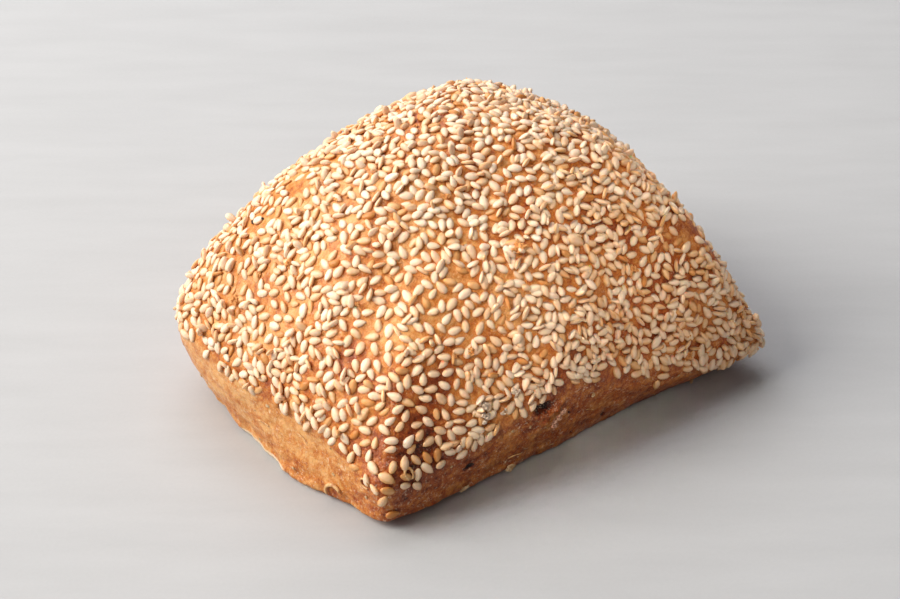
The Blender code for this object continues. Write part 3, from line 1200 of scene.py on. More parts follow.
class Packing:
    """Seeds already placed, sorted into cells, to find those near a new one."""

    CELL = 4.0 * MM

    def __init__(self) -> None:
        """Start with no seeds."""
        self.cells: dict[tuple[int, int, int], list[np.ndarray]] = {}

    def cell(self, point: np.ndarray) -> tuple[int, int, int]:
        """Cell that holds a point."""
        x, y, z = np.floor(point / self.CELL).astype(int)
        return int(x), int(y), int(z)

    def near(self, point: np.ndarray) -> np.ndarray:
        """Points of the inner lines of the seeds near a point.

        Args:
            point: The point.

        Returns:
            The points, one a row, or one far point where no seed is near.
        """
        x, y, z = self.cell(point)
        found = [other for i in (x - 1, x, x + 1) for j in (y - 1, y, y + 1)
                 for k in (z - 1, z, z + 1) for other in self.cells.get((i, j, k), ())]
        return np.concatenate(found) if found else point[None] + 1.0

    @staticmethod
    def gaps(cores: np.ndarray, others: np.ndarray) -> np.ndarray:
        """Smallest distance from each inner line to the other points."""
        apart = np.linalg.norm(cores[:, :, None, :] - others[None, None, :, :], axis=3)
        return apart.min(axis=(1, 2))

    def add(self, core: np.ndarray) -> None:
        """Keep a placed seed's inner line."""
        self.cells.setdefault(self.cell(core[1]), []).append(core)


@dataclass
class Sesame:
    """All the sesame on the roll, thin in the front and on the left, and heaped on the right."""

    skin: RollSkin
    ground: Ground
    finish: HulledSesame = field(default_factory=HulledSesame)
    draw_seed: int = 7
    tries: int = 90000
    most: int = 3560
    spins: int = 6
    # Share of the tries after which the crust is nearly full and seeds come to lie on others.
    late_from: float = 0.45
    # How strongly seeds gather in clumps, and the cover below which none stick.
    clumping: float = 0.45
    bare_below: float = 0.42
    # Chance that a seed takes its tightest fitting turn.
    nestling: float = 0.6
    # Size against the part's large seeds: smallest, usual, spread and largest.
    smallest: float = 0.72
    usual_size: float = 0.87
    size_spread: float = 0.055
    largest: float = 1.02
    # Usual tone and its spread, and the share of seeds that are toasted darker.
    usual_tone: float = 0.24
    tone_spread: float = 0.13
    toasted_share: float = 0.035
    # Most that heaped seeds turn from the slope to the level.
    levelling: float = 0.34
    forms: tuple[SeedForm, ...] = (
        SeedForm(belly=0.50, taper=0.78, bow=0.00, squareness=0.95),
        SeedForm(belly=0.46, taper=0.62, bow=0.10, squareness=0.90),
        SeedForm(belly=0.52, taper=0.95, bow=-0.06, squareness=1.0),
        SeedForm(belly=0.50, taper=0.70, bow=0.04, squareness=0.85),
        SeedForm(belly=0.58, taper=0.72, bow=-0.10, squareness=0.95),
    )
    # Patches where the crust shows.
    sparse: tuple[Spot, ...] = (
        Spot(-148.0, 0.965, 8.5 * MM, 0.46), Spot(-138.5, 0.895, 4.5 * MM, 0.55),
        Spot(-158.0, 0.80, 5.0 * MM, 0.35), Spot(-132.0, 0.72, 7.0 * MM, 0.30),
        Spot(-176.0, 0.72, 5.0 * MM, 0.25), Spot(150.4, 0.72, 2.6 * MM, 1.20),
        Spot(153.0, 0.585, 3.0 * MM, 1.10), Spot(-43.0, 0.79, 3.8 * MM, 1.20),
        Spot(-39.0, 0.84, 2.8 * MM, 1.00), Spot(145.8, 0.91, 3.0 * MM, 0.80),
        Spot(159.0, 0.875, 3.5 * MM, 0.50),
        Spot(-78.0, 0.86, 2.6 * MM, 0.90), Spot(-58.0, 0.80, 3.0 * MM, 0.70),
        Spot(-100.0, 0.42, 3.0 * MM, 0.40), Spot(175.0, 0.86, 6.0 * MM, 0.30),
    )
    # Single seeds that show, by place, turn, size and tone: a big one by the front left corner,
    # the biggest on the right of the dome, and strays on the band.
    singles: tuple[tuple[Spot, float, float, float], ...] = (
        (Spot(-148.0, 0.985), 70.0, 1.12, 0.50), (Spot(-79.5, 0.735), 48.0, 1.42, 0.42),
        (Spot(-148.5, 1.34), 150.0, 0.95, 0.45), (Spot(-143.0, 1.22), 40.0, 0.92, 0.30),
        (Spot(-147.0, 1.78), 88.0, 0.95, 1.0), (Spot(-64.5, 1.375), 15.0, 0.88, 0.5),
        (Spot(-63.6, 1.12), 80.0, 0.95, 0.45),
    )

    def build(self) -> bpy.types.Object:
        """Place every seed and join them in one mesh.

        Returns:
            The sesame piece.
        """
        seeds = self.place()
        points = bpy.data.meshes.new("sesame_points")
        points.from_pydata([seed.matrix.translation for seed in seeds], [], [])
        turns = [tuple(seed.matrix.to_euler()) for seed in seeds]
        set_attribute(points, "turn", turns, "FLOAT_VECTOR")
        set_attribute(points, "size", [seed.size for seed in seeds])
        set_attribute(points, "tone", [seed.tone for seed in seeds])
        set_attribute(points, "form", [seed.form for seed in seeds], "INT")
        piece = new_piece("sesame_seeds", points)
        samples = bpy.data.collections.new("seed_forms")
        bpy.context.scene.collection.children.link(samples)
        for index, form in enumerate(self.forms):
            name = f"seed_form_{index}"
            samples.objects.link(bpy.data.objects.new(name, form.mesh(name)))
        evaluate_nodes(piece, self.scatter_tree(), {
            "Forms": samples, "Sesame": self.finish.material()})
        for sample in list(samples.objects):
            bpy.data.objects.remove(sample)
        bpy.data.collections.remove(samples)
        LOG.info("sesame: %d seeds", len(seeds))
        return piece

    def scatter_tree(self) -> bpy.types.NodeTree:
        """Node tree that puts a seed form on each point and makes one mesh of them.

        Returns:
            The tree.
        """
        tree, source, target = new_tree("sesame_scatter", (
            ("Forms", "NodeSocketCollection"), ("Sesame", "NodeSocketMaterial")))

        def stored(name: str, kind: str) -> bpy.types.NodeSocket:
            """Attribute of the points."""
            return add_node(tree, "GeometryNodeInputNamedAttribute", {"Name": name},
                            data_type=kind).outputs[0]

        forms = add_node(tree, "GeometryNodeCollectionInfo", {
            "Collection": source.outputs["Forms"], "Separate Children": True,
            "Reset Children": True})
        turn = add_node(tree, "FunctionNodeEulerToRotation", {0: stored("turn", "FLOAT_VECTOR")})
        placed = add_node(tree, "GeometryNodeInstanceOnPoints", {
            "Points": source.outputs["Geometry"], "Instance": forms.outputs[0],
            "Pick Instance": True, "Instance Index": stored("form", "INT"),
            "Rotation": turn.outputs[0], "Scale": stored("size", "FLOAT")})
        real = add_node(tree, "GeometryNodeRealizeInstances", {"Geometry": placed.outputs[0]})
        dressed = add_node(tree, "GeometryNodeSetMaterial", {
            "Geometry": real.outputs[0], "Material": source.outputs["Sesame"]})
        tree.links.new(dressed.outputs[0], target.inputs["Geometry"])
        return tree

    def place(self) -> list[Seed]:
        """Seeds in place: the part's large ones first, then the rest around them.

        Returns:
            The seeds.
        """
        draw = random.Random(self.draw_seed)
        packing = Packing()
        seeds: list[Seed] = []
        for seed in self.fused():
            seeds.append(seed)
            packing.add(seed.core())
        for spot, spin, size, tone in self.singles:
            frame = self.ground.settle(self.skin.at(spot))
            seed = self.seed_at(frame, math.radians(spin), Lie.FLAT, size, tone, draw)
            seeds.append(seed)
            packing.add(seed.core())
        theta, station = self.candidates()
        place, down, across, normal = self.skin.frames(theta, station)
        cover = self.cover(place)
        clump = noise_at(place, 3.4 * MM, 1, 87.0)
        toast = self.toasting(place, cover)
        for index in range(len(theta)):
            if len(seeds) >= self.most:
                break
            late = index > self.late_from * len(theta)
            if cover[index] + self.clumping * clump[index] < self.bare_below:
                continue
            if late and draw.random() > smooth(0.78, 1.05, cover[index]):
                continue
            lie = self.lie(cover[index], late, draw)
            size = draw.gauss(self.usual_size, self.size_spread)
            size = min(self.largest, max(self.smallest, size))
            room = self.room(cover[index], lie, size)
            others = packing.near(place[index])
            if np.linalg.norm(others - place[index], axis=1).min() < 0.9 * room:
                continue
            turn = Matrix((down[index], across[index], normal[index])).transposed()
            frame = Matrix.Translation(Vector(place[index])) @ turn.to_4x4()
            frame = self.levelled(self.ground.settle(frame), cover[index])
            tone = self.tone(draw) + toast[index] + (0.3 if lie is Lie.SUNK else 0.0)
            first = draw.uniform(0.0, math.tau)
            options = [self.seed_at(frame, first + math.pi * k / self.spins, lie, size, tone, draw)
                       for k in range(self.spins)]
            gaps = packing.gaps(np.array([seed.core() for seed in options]), others)
            fits = np.flatnonzero(gaps >= room)
            if len(fits):
                tight = fits[np.argmin(gaps[fits])]
                nestles = draw.random() < self.nestling
                seed = options[tight if nestles else draw.choice(list(fits))]
                seeds.append(seed)
                packing.add(seed.core())
        return seeds

    def toasting(self, place: np.ndarray, cover: np.ndarray) -> np.ndarray:
        """Extra tone of the seeds: toasted most near the front left corner, and darker towards the
        right of the view.

        Args:
            place: Places on the crust.
            cover: How thick the sesame lies there.

        Returns:
            One value for each place, added to the tone.
        """
        toast = self.skin.nearness(place, Spot(-146.0, 0.98, 13.0 * MM, 0.13))
        # Seeds are made darker towards the right of the view.
        toast += 0.10 * smooth(8.0 * MM, 40.0 * MM, self.rightward(place))
        flank = 1.0 - smooth(40.0 * MM, 52.0 * MM, place[:, 2])
        return toast - 0.15 * (cover - 0.97) * flank

    def levelled(self, frame: Matrix, cover: float) -> Matrix:
        """Turn a frame part of the way up, because heaped seeds lie flatter than the slope.

        Args:
            frame: Place and directions of the crust.
            cover: How thick the sesame lies there.

        Returns:
            The turned frame.
        """
        share = self.levelling * float(smooth(0.98, 1.12, cover))
        down, _, normal = frame.to_3x3().transposed()
        raised = normal.lerp(Vector((0.0, 0.0, 1.0)), share).normalized()
        return stood(frame.translation, down, raised)

    def lie(self, cover: float, late: bool, draw: random.Random) -> Lie:
        """Draw how a seed lies: heaped seeds lean or stand on edge, and late ones most.

        Args:
            cover: How thick the sesame lies there.
            late: Whether the surface is nearly full.
            draw: Source of the draws.

        Returns:
            The way it lies.
        """
        chance = draw.random()
        if late:
            if chance < 0.04:
                return Lie.PROUD
            return Lie.ON_EDGE if chance < 0.16 else Lie.LEANING
        if cover > 0.85 and chance < 0.06:
            return Lie.ON_EDGE if chance < 0.05 else Lie.PROUD
        if chance > 0.92:
            return Lie.SUNK
        return Lie.FLAT

    def room(self, cover: float, lie: Lie, size: float) -> float:
        """Least distance between inner lines.

        Args:
            cover: How thick the sesame lies there.
            lie: How the seed lies.
            size: Size of the seed.

        Returns:
            The distance.
        """
        share = SEED_ROOM[lie]
        share += 0.6 * max(0.0, 0.82 - cover) - 0.06 * float(smooth(0.85, 1.15, cover))
        return SEED_WIDTH * size * share

    def tone(self, draw: random.Random) -> float:
        """Draw a tone: most seeds are cream, some golden, and a few toasted.

        Args:
            draw: Source of the draws.

        Returns:
            The tone, from 0, pale, to 1, toasted.
        """
        if draw.random() < self.toasted_share:
            return draw.uniform(0.6, 1.0)
        return min(0.75, max(0.0, draw.gauss(self.usual_tone, self.tone_spread)))

    def seed_at(self, frame: Matrix, spin: float, lie: Lie, size: float, tone: float,
                draw: random.Random) -> Seed:
        """Seed on the crust.

        Args:
            frame: Place and directions of the crust.
            spin: Turn about the normal.
            lie: How the seed lies.
            size: Size, 1 for the part's large seed.
            tone: From 0, pale, to 1, toasted.
            draw: Source of the draws.

        Returns:
            The seed.
        """
        pitch, roll = draw.gauss(0.0, 6.0), draw.gauss(0.0, 8.0)
        rise = 0.5 * SEED_THICKNESS * size - draw.uniform(0.18, 0.38) * MM
        if lie is Lie.LEANING:
            pitch = draw.choice((-1.0, 1.0)) * draw.uniform(5.0, 22.0)
            roll = draw.gauss(0.0, 14.0)
            rise += draw.uniform(0.20, 0.50) * MM
        elif lie is Lie.ON_EDGE:
            pitch, roll = draw.gauss(0.0, 12.0), draw.choice((-1.0, 1.0)) * draw.uniform(45, 85)
            rise += 0.30 * MM
        elif lie is Lie.SUNK:
            rise -= 0.20 * MM
        elif lie is Lie.PROUD:
            pitch = draw.choice((-1.0, 1.0)) * draw.uniform(35.0, 75.0)
            rise = 0.5 * SEED_LENGTH * size * math.sin(math.radians(abs(pitch))) - 0.45 * MM
        turn = Euler((math.radians(roll), math.radians(pitch), 0.0)).to_matrix().to_4x4()
        flip = Matrix.Rotation(draw.choice((0.0, math.pi)), 4, "X")
        matrix = (frame @ Matrix.Translation((0.0, 0.0, rise)) @ Matrix.Rotation(spin, 4, "Z")
                  @ turn @ flip)
        return Seed(matrix, size, tone, draw.randrange(len(self.forms)))

    def fused(self) -> Iterator[Seed]:
        """The part's large seeds, in the same places by the same draws.

        Yields:
            Each seed.
        """
        draw = random.Random(SEED_DRAW)
        other = random.Random(self.draw_seed + 1)
        for angle, station in self.even_places(SEED_COUNT):
            spin = Matrix.Rotation(draw.uniform(0.0, math.tau), 4, "Z")
            tilt = Matrix.Rotation(math.radians(draw.gauss(0.0, 7.0)), 4, "Y")
            rise = 0.5 * SEED_THICKNESS - SEED_SUNK - draw.uniform(0.0, 0.1) * MM
            frame = self.ground.settle(self.skin.frame(angle, station))
            frame = frame @ Matrix.Translation((0.0, 0.0, rise))
            yield Seed(frame @ spin @ tilt, draw.uniform(0.92, 1.04), self.tone(other),
                       other.randrange(len(self.forms)))

    def even_places(self, count: int) -> Iterator[tuple[float, float]]:
        """Plan angles and stations spread evenly over the dome by the golden angle.

        Args:
            count: How many places.

        Yields:
            Angle in radians and station.
        """
        fine = 120
        theta = np.linspace(0.0, math.tau, fine + 1)
        station = np.linspace(0.0, 1.0, fine + 1)
        area = self.cell_areas(theta, station)
        by_station = np.concatenate([[0.0], np.cumsum(area.sum(axis=1))])
        by_theta = np.concatenate([[0.0], np.cumsum(area.sum(axis=0))])
        golden = (math.sqrt(5.0) - 1.0) / 2.0
        for index in range(count):
            deep = 0.975 * (index + 0.5) / count
            turn = (index * golden) % 1.0
            yield (float(np.interp(turn * by_theta[-1], by_theta, theta)),
                   float(np.interp(deep * by_station[-1], by_station, station)))

    def cell_areas(self, theta: np.ndarray, station: np.ndarray) -> np.ndarray:
        """Area of each cell of a grid of angles and stations.

        Args:
            theta: Angles that bound the columns.
            station: Stations that bound the rows.

        Returns:
            Areas, a row for each step of station.
        """
        columns, rows = np.meshgrid(theta, station)
        points = self.skin.points(columns.ravel(), rows.ravel()).reshape(*rows.shape, 3)
        down = points[1:, :-1] - points[:-1, :-1]
        around = points[:-1, 1:] - points[:-1, :-1]
        return np.linalg.norm(np.cross(down, around), axis=2)

    def candidates(self) -> tuple[np.ndarray, np.ndarray]:
        """Places to try, spread by area over the dome and the wrapped corner.

        Returns:
            Angles in radians and stations.
        """
        rng = np.random.default_rng(self.draw_seed)
        theta = np.linspace(0.0, math.tau, 361)
        station = np.linspace(0.0, 1.8, 181)
        area = self.cell_areas(theta, station)
        share = area.ravel() / area.sum()
        cells = rng.choice(len(share), size=self.tries, p=share)
        rows, columns = np.divmod(cells, len(theta) - 1)
        theta_at = theta[columns] + rng.random(self.tries) * (theta[1] - theta[0])
        station_at = station[rows] + rng.random(self.tries) * (station[1] - station[0])
        return self.kept(theta_at, station_at)

    def kept(self, theta: np.ndarray, station: np.ndarray) -> tuple[np.ndarray, np.ndarray]:
        """Places above the seed line, which dips at both front corners.

        Args:
            theta: Plan angles in radians.
            station: Stations, as many as the angles.

        Returns:
            Angles and stations of those places.
        """
        turn = np.degrees(theta) % 360.0
        wrap = 0.72 * np.exp(-((turn - FRONT_RIGHT_TURN) / 8.5) ** 2)
        wrap += 0.22 * np.exp(-((turn - FRONT_LEFT_TURN) / 5.0) ** 2)
        ragged = 0.014 * np.sin(turn * 0.31) + 0.012 * np.sin(turn * 0.83 + 2.0)
        inside = station < 1.005 + ragged + wrap
        return theta[inside], station[inside]

    @staticmethod
    def rightward(place: np.ndarray) -> np.ndarray:
        """How far each place lies to the right in the photograph."""
        turn = math.radians(VIEW_TURN)
        return place[:, 0] * math.cos(turn) + place[:, 1] * math.sin(turn)

    def cover(self, place: np.ndarray) -> np.ndarray:
        """How thick the sesame lies: under 0.8 crust shows, and over 0.9 seeds heap up.

        Args:
            place: Places on the crust.

        Returns:
            One value for each place.
        """
        cover = 0.97 + 0.16 * smooth(-20.0 * MM, 22.0 * MM, self.rightward(place))
        cover = np.maximum(cover, smooth(40.0 * MM, 52.0 * MM, place[:, 2]))
        cover += 0.09 * noise_at(place, 9.0 * MM, 2, 57.0)
        cover -= self.skin.nearness(place, Spot(-138.0, 0.80, 17.0 * MM, 0.13))
        for spot in self.sparse:
            cover -= self.skin.nearness(place, spot)
        return cover


# Flour, bran and crumbs


@dataclass
class Bits:
    """Small dry bits of one kind, scattered by rule and joined in one mesh."""

    name: str
    skin: RollSkin
    ground: Ground
    finish: DryMatter
    slot: str
    spots: tuple[Spot, ...]
    size: float
    # How far bits stray from their spot.
    spread: float
    flatness: float
    raggedness: float
    draw_seed: int
    # How many at each spot, and how many more between the bounding stations.
    each: int = 1
    anywhere: int = 0
    bounds: tuple[float, float] = (0.0, 1.0)
    # Height above the smooth crust.
    lift: float = 0.05 * MM
    # Whether those at the spots are long and lie across the slope.
    level: bool = False

    def build(self) -> bpy.types.Object:
        """Place the bits and join them.

        Returns:
            The piece.
        """
        draw = random.Random(self.draw_seed)
        work = bmesh.new()
        for spot in self.spots:
            frame = self.skin.at(spot)
            for _ in range(self.each):
                offset = Vector((draw.gauss(0.0, 1.0), draw.gauss(0.0, 1.0), 0.0)) * self.spread
                self.lump(work, self.ground.settle(frame @ Matrix.Translation(offset)),
                          self.size * spot.strength * draw.uniform(0.6, 1.15), draw, self.level)
        for _ in range(self.anywhere):
            low, high = self.bounds
            station = math.sqrt(draw.uniform(low ** 2, high ** 2))
            frame = self.ground.settle(self.skin.frame(draw.uniform(0.0, math.tau), station))
            self.lump(work, frame, self.size * draw.uniform(0.35, 0.8), draw, False)
        mesh = bpy.data.meshes.new(self.name)
        work.to_mesh(mesh)
        work.free()
        mesh.materials.append(self.finish.material())
        return new_piece(self.name, mesh)

    def lump(self, work: bmesh.types.BMesh, frame: Matrix, size: float,
             draw: random.Random, level: bool) -> None:
        """Add one ragged lump or flake.

        Args:
            work: Mesh that receives it.
            frame: Place and directions of the skin.
            size: Its length.
            draw: Source of the draws.
            level: Whether it is long and lies across the slope.
        """
        narrow = draw.uniform(0.32, 0.42) if level else draw.uniform(0.55, 0.9)
        shape = Matrix.Diagonal((0.5 * size, 0.5 * size * narrow,
                                 0.5 * size * self.flatness, 1.0))
        spin = draw.gauss(0.5 * math.pi, 0.15) if level else draw.uniform(0.0, math.tau)
        tilt = Euler((draw.gauss(0.0, 0.25), draw.gauss(0.0, 0.25), spin)).to_matrix().to_4x4()
        lift = Matrix.Translation((0.0, 0.0, 0.35 * size * self.flatness + self.lift))
        made = bmesh.ops.create_icosphere(work, subdivisions=3, radius=1.0,
                                          matrix=Matrix.Identity(4))
        jitter = Vector((draw.uniform(0, 90), draw.uniform(0, 90), draw.uniform(0, 90)))
        for vert in made["verts"]:
            swell = noise.noise(vert.co * 1.9 + jitter) + 0.5 * noise.noise(vert.co * 4.3 + jitter)
            vert.co *= 1.0 + self.raggedness * swell
        bmesh.ops.transform(work, matrix=frame @ lift @ tilt @ shape, verts=made["verts"])


@dataclass
class Husks:
    """Curled bran skins and loose fibres: thin strands lying bent on the crust."""

    skin: RollSkin
    ground: Ground
    finish: DryMatter = DryMatter("curled_bran", "#EDC489", "#B5743A", 0.9 * MM, 0.45)
    slot: str = "crust"
    # Curls: place, half length, half width, share of the loop, turn, and half thickness.
    # The first is the one at the foot of the left side.
    curls: tuple[tuple[Spot, float, float, float, float, float], ...] = (
        (Spot(-161.9, 1.86), 1.9 * MM, 1.55 * MM, 0.62, 100.0, 0.46 * MM),
        (Spot(-144.5, 0.99), 1.25 * MM, 0.85 * MM, 0.97, 30.0, 0.34 * MM),
        (Spot(-152.8, 1.105), 1.2 * MM, 1.0 * MM, 0.97, 70.0, 0.22 * MM),
        (Spot(-129.5, 0.97), 1.5 * MM, 0.8 * MM, 0.60, 40.0, 0.34 * MM),
        (Spot(20.0, 1.60), 1.6 * MM, 0.9 * MM, 0.65, 60.0, 0.28 * MM),
        (Spot(96.0, 1.45), 1.4 * MM, 0.8 * MM, 0.97, 15.0, 0.26 * MM),
    )
    # Fibres: place, half length, turn, how far the middle bows, and half thickness.
    fibres: tuple[tuple[Spot, float, float, float, float], ...] = (
        (Spot(-141.0, 0.37), 3.0 * MM, 35.0, 0.5 * MM, 0.13 * MM),
        (Spot(159.2, 0.705), 1.8 * MM, 80.0, 0.5 * MM, 0.12 * MM),
        (Spot(170.0, 0.60), 2.2 * MM, 55.0, 0.4 * MM, 0.12 * MM),
        (Spot(-42.8, 0.64), 2.0 * MM, 20.0, 0.5 * MM, 0.12 * MM),
        (Spot(-80.0, 0.60), 2.2 * MM, 110.0, 0.7 * MM, 0.12 * MM),
        (Spot(60.0, 0.70), 2.4 * MM, 70.0, 0.6 * MM, 0.12 * MM),
        (Spot(-118.0, 1.75), 2.0 * MM, 80.0, 0.3 * MM, 0.16 * MM),
        (Spot(-88.0, 1.55), 1.6 * MM, 60.0, 0.3 * MM, 0.12 * MM),
        (Spot(176.0, 1.45), 2.2 * MM, 95.0, 0.4 * MM, 0.16 * MM),
        (Spot(-172.0, 1.30), 1.8 * MM, 70.0, 0.5 * MM, 0.14 * MM),
        (Spot(40.0, 1.40), 2.0 * MM, 100.0, 0.4 * MM, 0.14 * MM),
    )

    def build(self) -> bpy.types.Object:
        """Lay every strand and join them.

        Returns:
            The piece.
        """
        work = bmesh.new()
        for spot, long, wide, share, turn, girth in self.curls:
            sweep = np.linspace(0.0, math.tau * share, 15)
            path = [(long * math.cos(t), wide * math.sin(t)) for t in sweep]
            self.strand(work, spot, turn, path, girth)
        for spot, long, turn, bow, girth in self.fibres:
            path = [(long * t, bow * (1.0 - t * t)) for t in np.linspace(-1.0, 1.0, 9)]
            self.strand(work, spot, turn, path, girth)
        mesh = bpy.data.meshes.new("curled_husks")
        work.to_mesh(mesh)
        work.free()
        mesh.shade_smooth()
        mesh.materials.append(self.finish.material())
        return new_piece("curled_husks", mesh)

    def strand(self, work: bmesh.types.BMesh, spot: Spot, turn: float,
               path: Sequence[tuple[float, float]], girth: float) -> None:
        """Sweep one tapering strand along a path on the crust.

        Args:
            work: Mesh that receives it.
            spot: Its place.
            turn: Turn of the path about the normal, in degrees.
            path: Points beside the place, in the plane of the crust.
            girth: Half its thickness in the middle.
        """
        frame = self.skin.at(spot) @ Matrix.Rotation(math.radians(turn), 4, "Z")
        stops = []
        for x, y in path:
            here = self.ground.settle(frame @ Matrix.Translation((x, y, 0.0)))
            normal = here.to_3x3().col[2]
            stops.append((here.translation + normal * (0.8 * girth + 0.12 * MM), normal))
        rings = []
        last = len(stops) - 1
        for index in range(1, last):
            place, normal = stops[index]
            ahead = (stops[index + 1][0] - stops[index - 1][0]).normalized()
            side = normal.cross(ahead).normalized()
            wide = girth * (0.55 + 0.45 * math.sin(math.pi * index / last))
            rings.append(np.array([place + side * (wide * math.cos(t))
                                   + normal * (wide * math.sin(t))
                                   for t in np.linspace(0.0, math.tau, 6, endpoint=False)]))
        mesh = ring_mesh("strand", rings, stops[0][0], stops[last][0])
        work.from_mesh(mesh)
        bpy.data.meshes.remove(mesh)


# Studio


@dataclass(frozen=True)
class Softbox:
    """A square light: its direction by the photograph's view, distance, size and power.

    A narrow spread keeps a light on the roll and off the paper.
    """

    name: str
    turn: float
    rise: float
    distance: float
    size: float
    power: float
    tint: str = "#FFFFFF"
    spread: float = 180.0
    aim: tuple[float, float, float] = (0.0, 0.0, 20.0 * MM)

    def hang(self) -> None:
        """Make the light and aim it at the roll."""
        back = direction(self.turn + VIEW_TURN, self.rise)
        data = bpy.data.lights.new(self.name, "AREA")
        data.shape = "SQUARE"
        data.size = self.size
        data.spread = math.radians(self.spread)
        data.energy = self.power
        data.color = linear(self.tint)[:3]
        lamp = bpy.data.objects.new(self.name, data)
        lamp.location = back * self.distance + Vector(self.aim)
        lamp.rotation_euler = back.to_track_quat("Z", "Y").to_euler()
        bpy.context.scene.collection.objects.link(lamp)


@dataclass(frozen=True)
class Studio:
    """Paper, lights and camera."""

    target: tuple[float, float, float] = (0.34 * MM, 3.27 * MM, 15.0 * MM)
    distance: float = 0.5
    lens: float = 92.0
    floor_size: float = 4.0
    ambient: str = "#FAF9FF"
    ambient_strength: float = 0.16
    # A broad window at the left is the main light. A softbox behind lights the paper and the
    # far side, and two small narrow ones lift the shaded front of the dome.
    lights: tuple[Softbox, ...] = (
        Softbox("window", turn=-84.0, rise=38.0, distance=1.4, size=0.95, power=28.0,
                tint="#FFFDFA"),
        Softbox("back_fill", turn=-158.0, rise=53.0, distance=1.05, size=0.9, power=8.5,
                tint="#F6F8FF"),
        Softbox("reflector_right", turn=12.0, rise=50.0, distance=1.0, size=0.04, power=0.0034,
                tint="#FFF0DE", spread=3.4, aim=(21.0 * MM, -26.0 * MM, 34.0 * MM)),
        Softbox("reflector_front", turn=-32.0, rise=52.0, distance=1.0, size=0.04, power=0.0040,
                tint="#FFF0DE", spread=3.5, aim=(-25.0 * MM, -27.0 * MM, 33.0 * MM)),
    )

    def build(self) -> None:
        """Set up the whole studio."""
        self.lay_paper()
        for light in self.lights:
            light.hang()
        world = bpy.data.worlds.new("studio_air")
        world.use_nodes = True
        background = world.node_tree.nodes["Background"]
        background.inputs["Color"].default_value = linear(self.ambient)
        background.inputs["Strength"].default_value = self.ambient_strength
        bpy.context.scene.world = world
        bpy.context.scene.view_settings.view_transform = "Standard"
        self.set_camera()

    def lay_paper(self) -> None:
        """Lay the sheet under the roll."""
        half, below = 0.5 * self.floor_size, -0.05 * MM
        mesh = bpy.data.meshes.new("paper")
        corners = [(x * half, y * half, below)
                   for x, y in ((-1, -1), (1, -1), (1, 1), (-1, 1))]
        mesh.from_pydata(corners, [], [(0, 1, 2, 3)])
        mesh.materials.append(BakingPaper().material())
        new_piece("paper", mesh)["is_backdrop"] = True

    def set_camera(self) -> None:
        """Put the camera where the photograph was taken."""
        back = direction(VIEW_TURN, VIEW_RISE)
        data = bpy.data.cameras.new("camera")
        data.lens = self.lens
        data.sensor_width = 36.0
        data.clip_start = 0.01
        camera = bpy.data.objects.new("camera", data)
        camera.location = Vector(self.target) + back * self.distance
        camera.rotation_euler = back.to_track_quat("Z", "Y").to_euler()
        bpy.context.scene.collection.objects.link(camera)
        bpy.context.scene.camera = camera


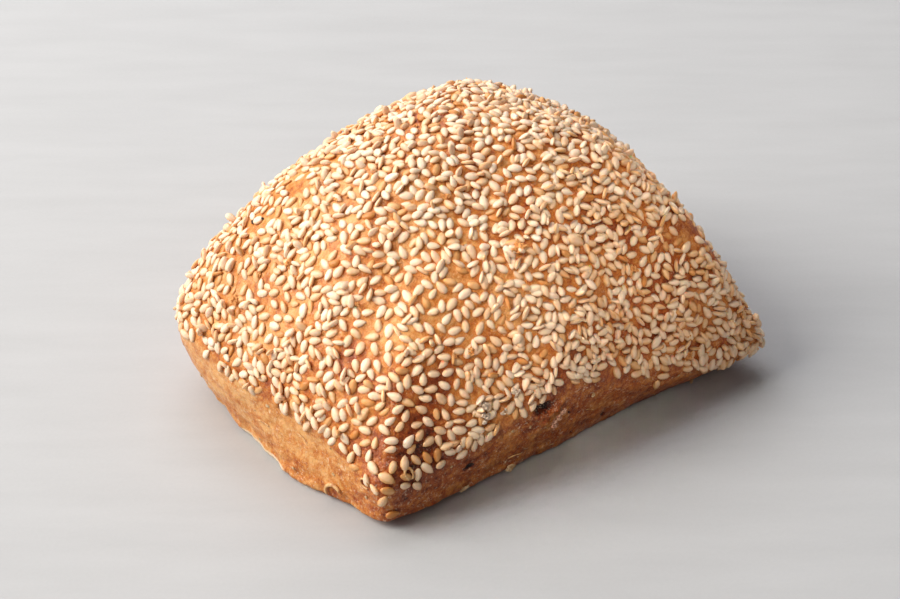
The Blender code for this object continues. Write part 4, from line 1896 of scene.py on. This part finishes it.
def trimmings(skin: RollSkin, ground: Ground) -> list[Bits]:
    """Flour, bran, crumbs and specks, by kind.

    Args:
        skin: The roll's skin.
        ground: Its smooth crust.

    Returns:
        One scatter for each kind.
    """
    flour = DryMatter("caked_flour", "#F0DFCB", "#C4AA8E", 0.5 * MM)
    bran = DryMatter("dried_bran", "#DDC29A", "#B08A5C", 0.8 * MM)
    toasted = DryMatter("toasted_crumb", "#EBAE6C", "#C97F3D", 0.6 * MM)
    torn = DryMatter("torn_crumb", "#F2C9AC", "#A8633E", 0.4 * MM)
    charred = DryMatter("charred_husk", "#4A3428", "#1E1510", 0.5 * MM)
    return [
        Bits("flour_crumbs", skin, ground, flour, "flour",
             (Spot(-127.6, 0.955), Spot(-126.9, 0.975), Spot(-117.6, 0.972, strength=0.85),
              Spot(-122.0, 0.985, strength=0.6)),
             size=1.1 * MM, spread=0.5 * MM, flatness=0.8, raggedness=0.55, draw_seed=3,
             each=5, lift=0.45 * MM),
        Bits("bran_flakes", skin, ground, bran, "flour",
             (Spot(-118.8, 1.97, strength=2.3), Spot(-133.4, 1.97, strength=2.4),
              Spot(-51.5, 1.90, strength=1.7), Spot(-103.0, 1.9, strength=0.5)),
             size=1.3 * MM, spread=0.15 * MM, flatness=0.22, raggedness=0.4, draw_seed=5,
             anywhere=46, bounds=(1.05, 1.95), level=True),
        Bits("golden_crumbs", skin, ground, toasted, "crust",
             (Spot(-107.2, 0.695, strength=1.9), Spot(170.0, 0.55, strength=1.2),
              Spot(170.5, 0.765, strength=1.2), Spot(160.5, 0.895, strength=1.1),
              Spot(-164.8, 0.78, strength=0.9), Spot(-130.8, 0.845, strength=0.9),
              Spot(-61.8, 0.825, strength=0.8), Spot(-56.2, 0.985, strength=1.3),
              Spot(-54.8, 0.96, strength=1.1)),
             size=1.5 * MM, spread=0.3 * MM, flatness=0.7, raggedness=0.9, draw_seed=9,
             each=2, anywhere=34, bounds=(0.1, 0.98)),
        Bits("torn_crumb", skin, ground, torn, "crust",
             (Spot(-105.2, 1.40), Spot(-104.2, 1.36), Spot(-103.2, 1.33), Spot(-102.3, 1.28),
              Spot(-104.8, 1.47, strength=0.7)),
             size=0.85 * MM, spread=0.35 * MM, flatness=0.7, raggedness=0.9, draw_seed=17,
             each=6, lift=1.1 * MM),
        Bits("charred_specks", skin, ground, charred, "crust",
             (Spot(-101.0, 0.585), Spot(151.0, 0.71, strength=1.7),
              Spot(149.2, 0.73, strength=1.6), Spot(-86.0, 0.79, strength=0.9),
              Spot(-162.0, 0.80, strength=0.5)),
             size=0.65 * MM, spread=0.25 * MM, flatness=0.6, raggedness=0.6, draw_seed=13,
             anywhere=7, bounds=(0.1, 0.98)),
    ]


def main() -> None:
    """Dress the roll and light it."""
    logging.basicConfig(level=logging.INFO, format="%(name)s: %(message)s")
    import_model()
    cad_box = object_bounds()
    skin = RollSkin(SIDES, CORNERS)

    crust, ground = Crust(skin).build()
    sesame = Sesame(skin, ground).build()
    for piece, slot in ((crust, "crust"), (sesame, "sesame")):
        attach(piece, "root")
        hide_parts("roll")
        LOG.info("%s: %d faces", piece.name, len(piece.data.polygons))
    for bits in (Husks(skin, ground), *trimmings(skin, ground)):
        piece = bits.build()
        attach(piece, "root")
        LOG.info("%s: %d faces", piece.name, len(piece.data.polygons))

    Studio().build()
    boxes = {"cad": cad_box, "visual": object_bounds()}
    {name: [list(corner) for corner in box] for name, box in boxes.items()}


if __name__ == "__main__":
    main()
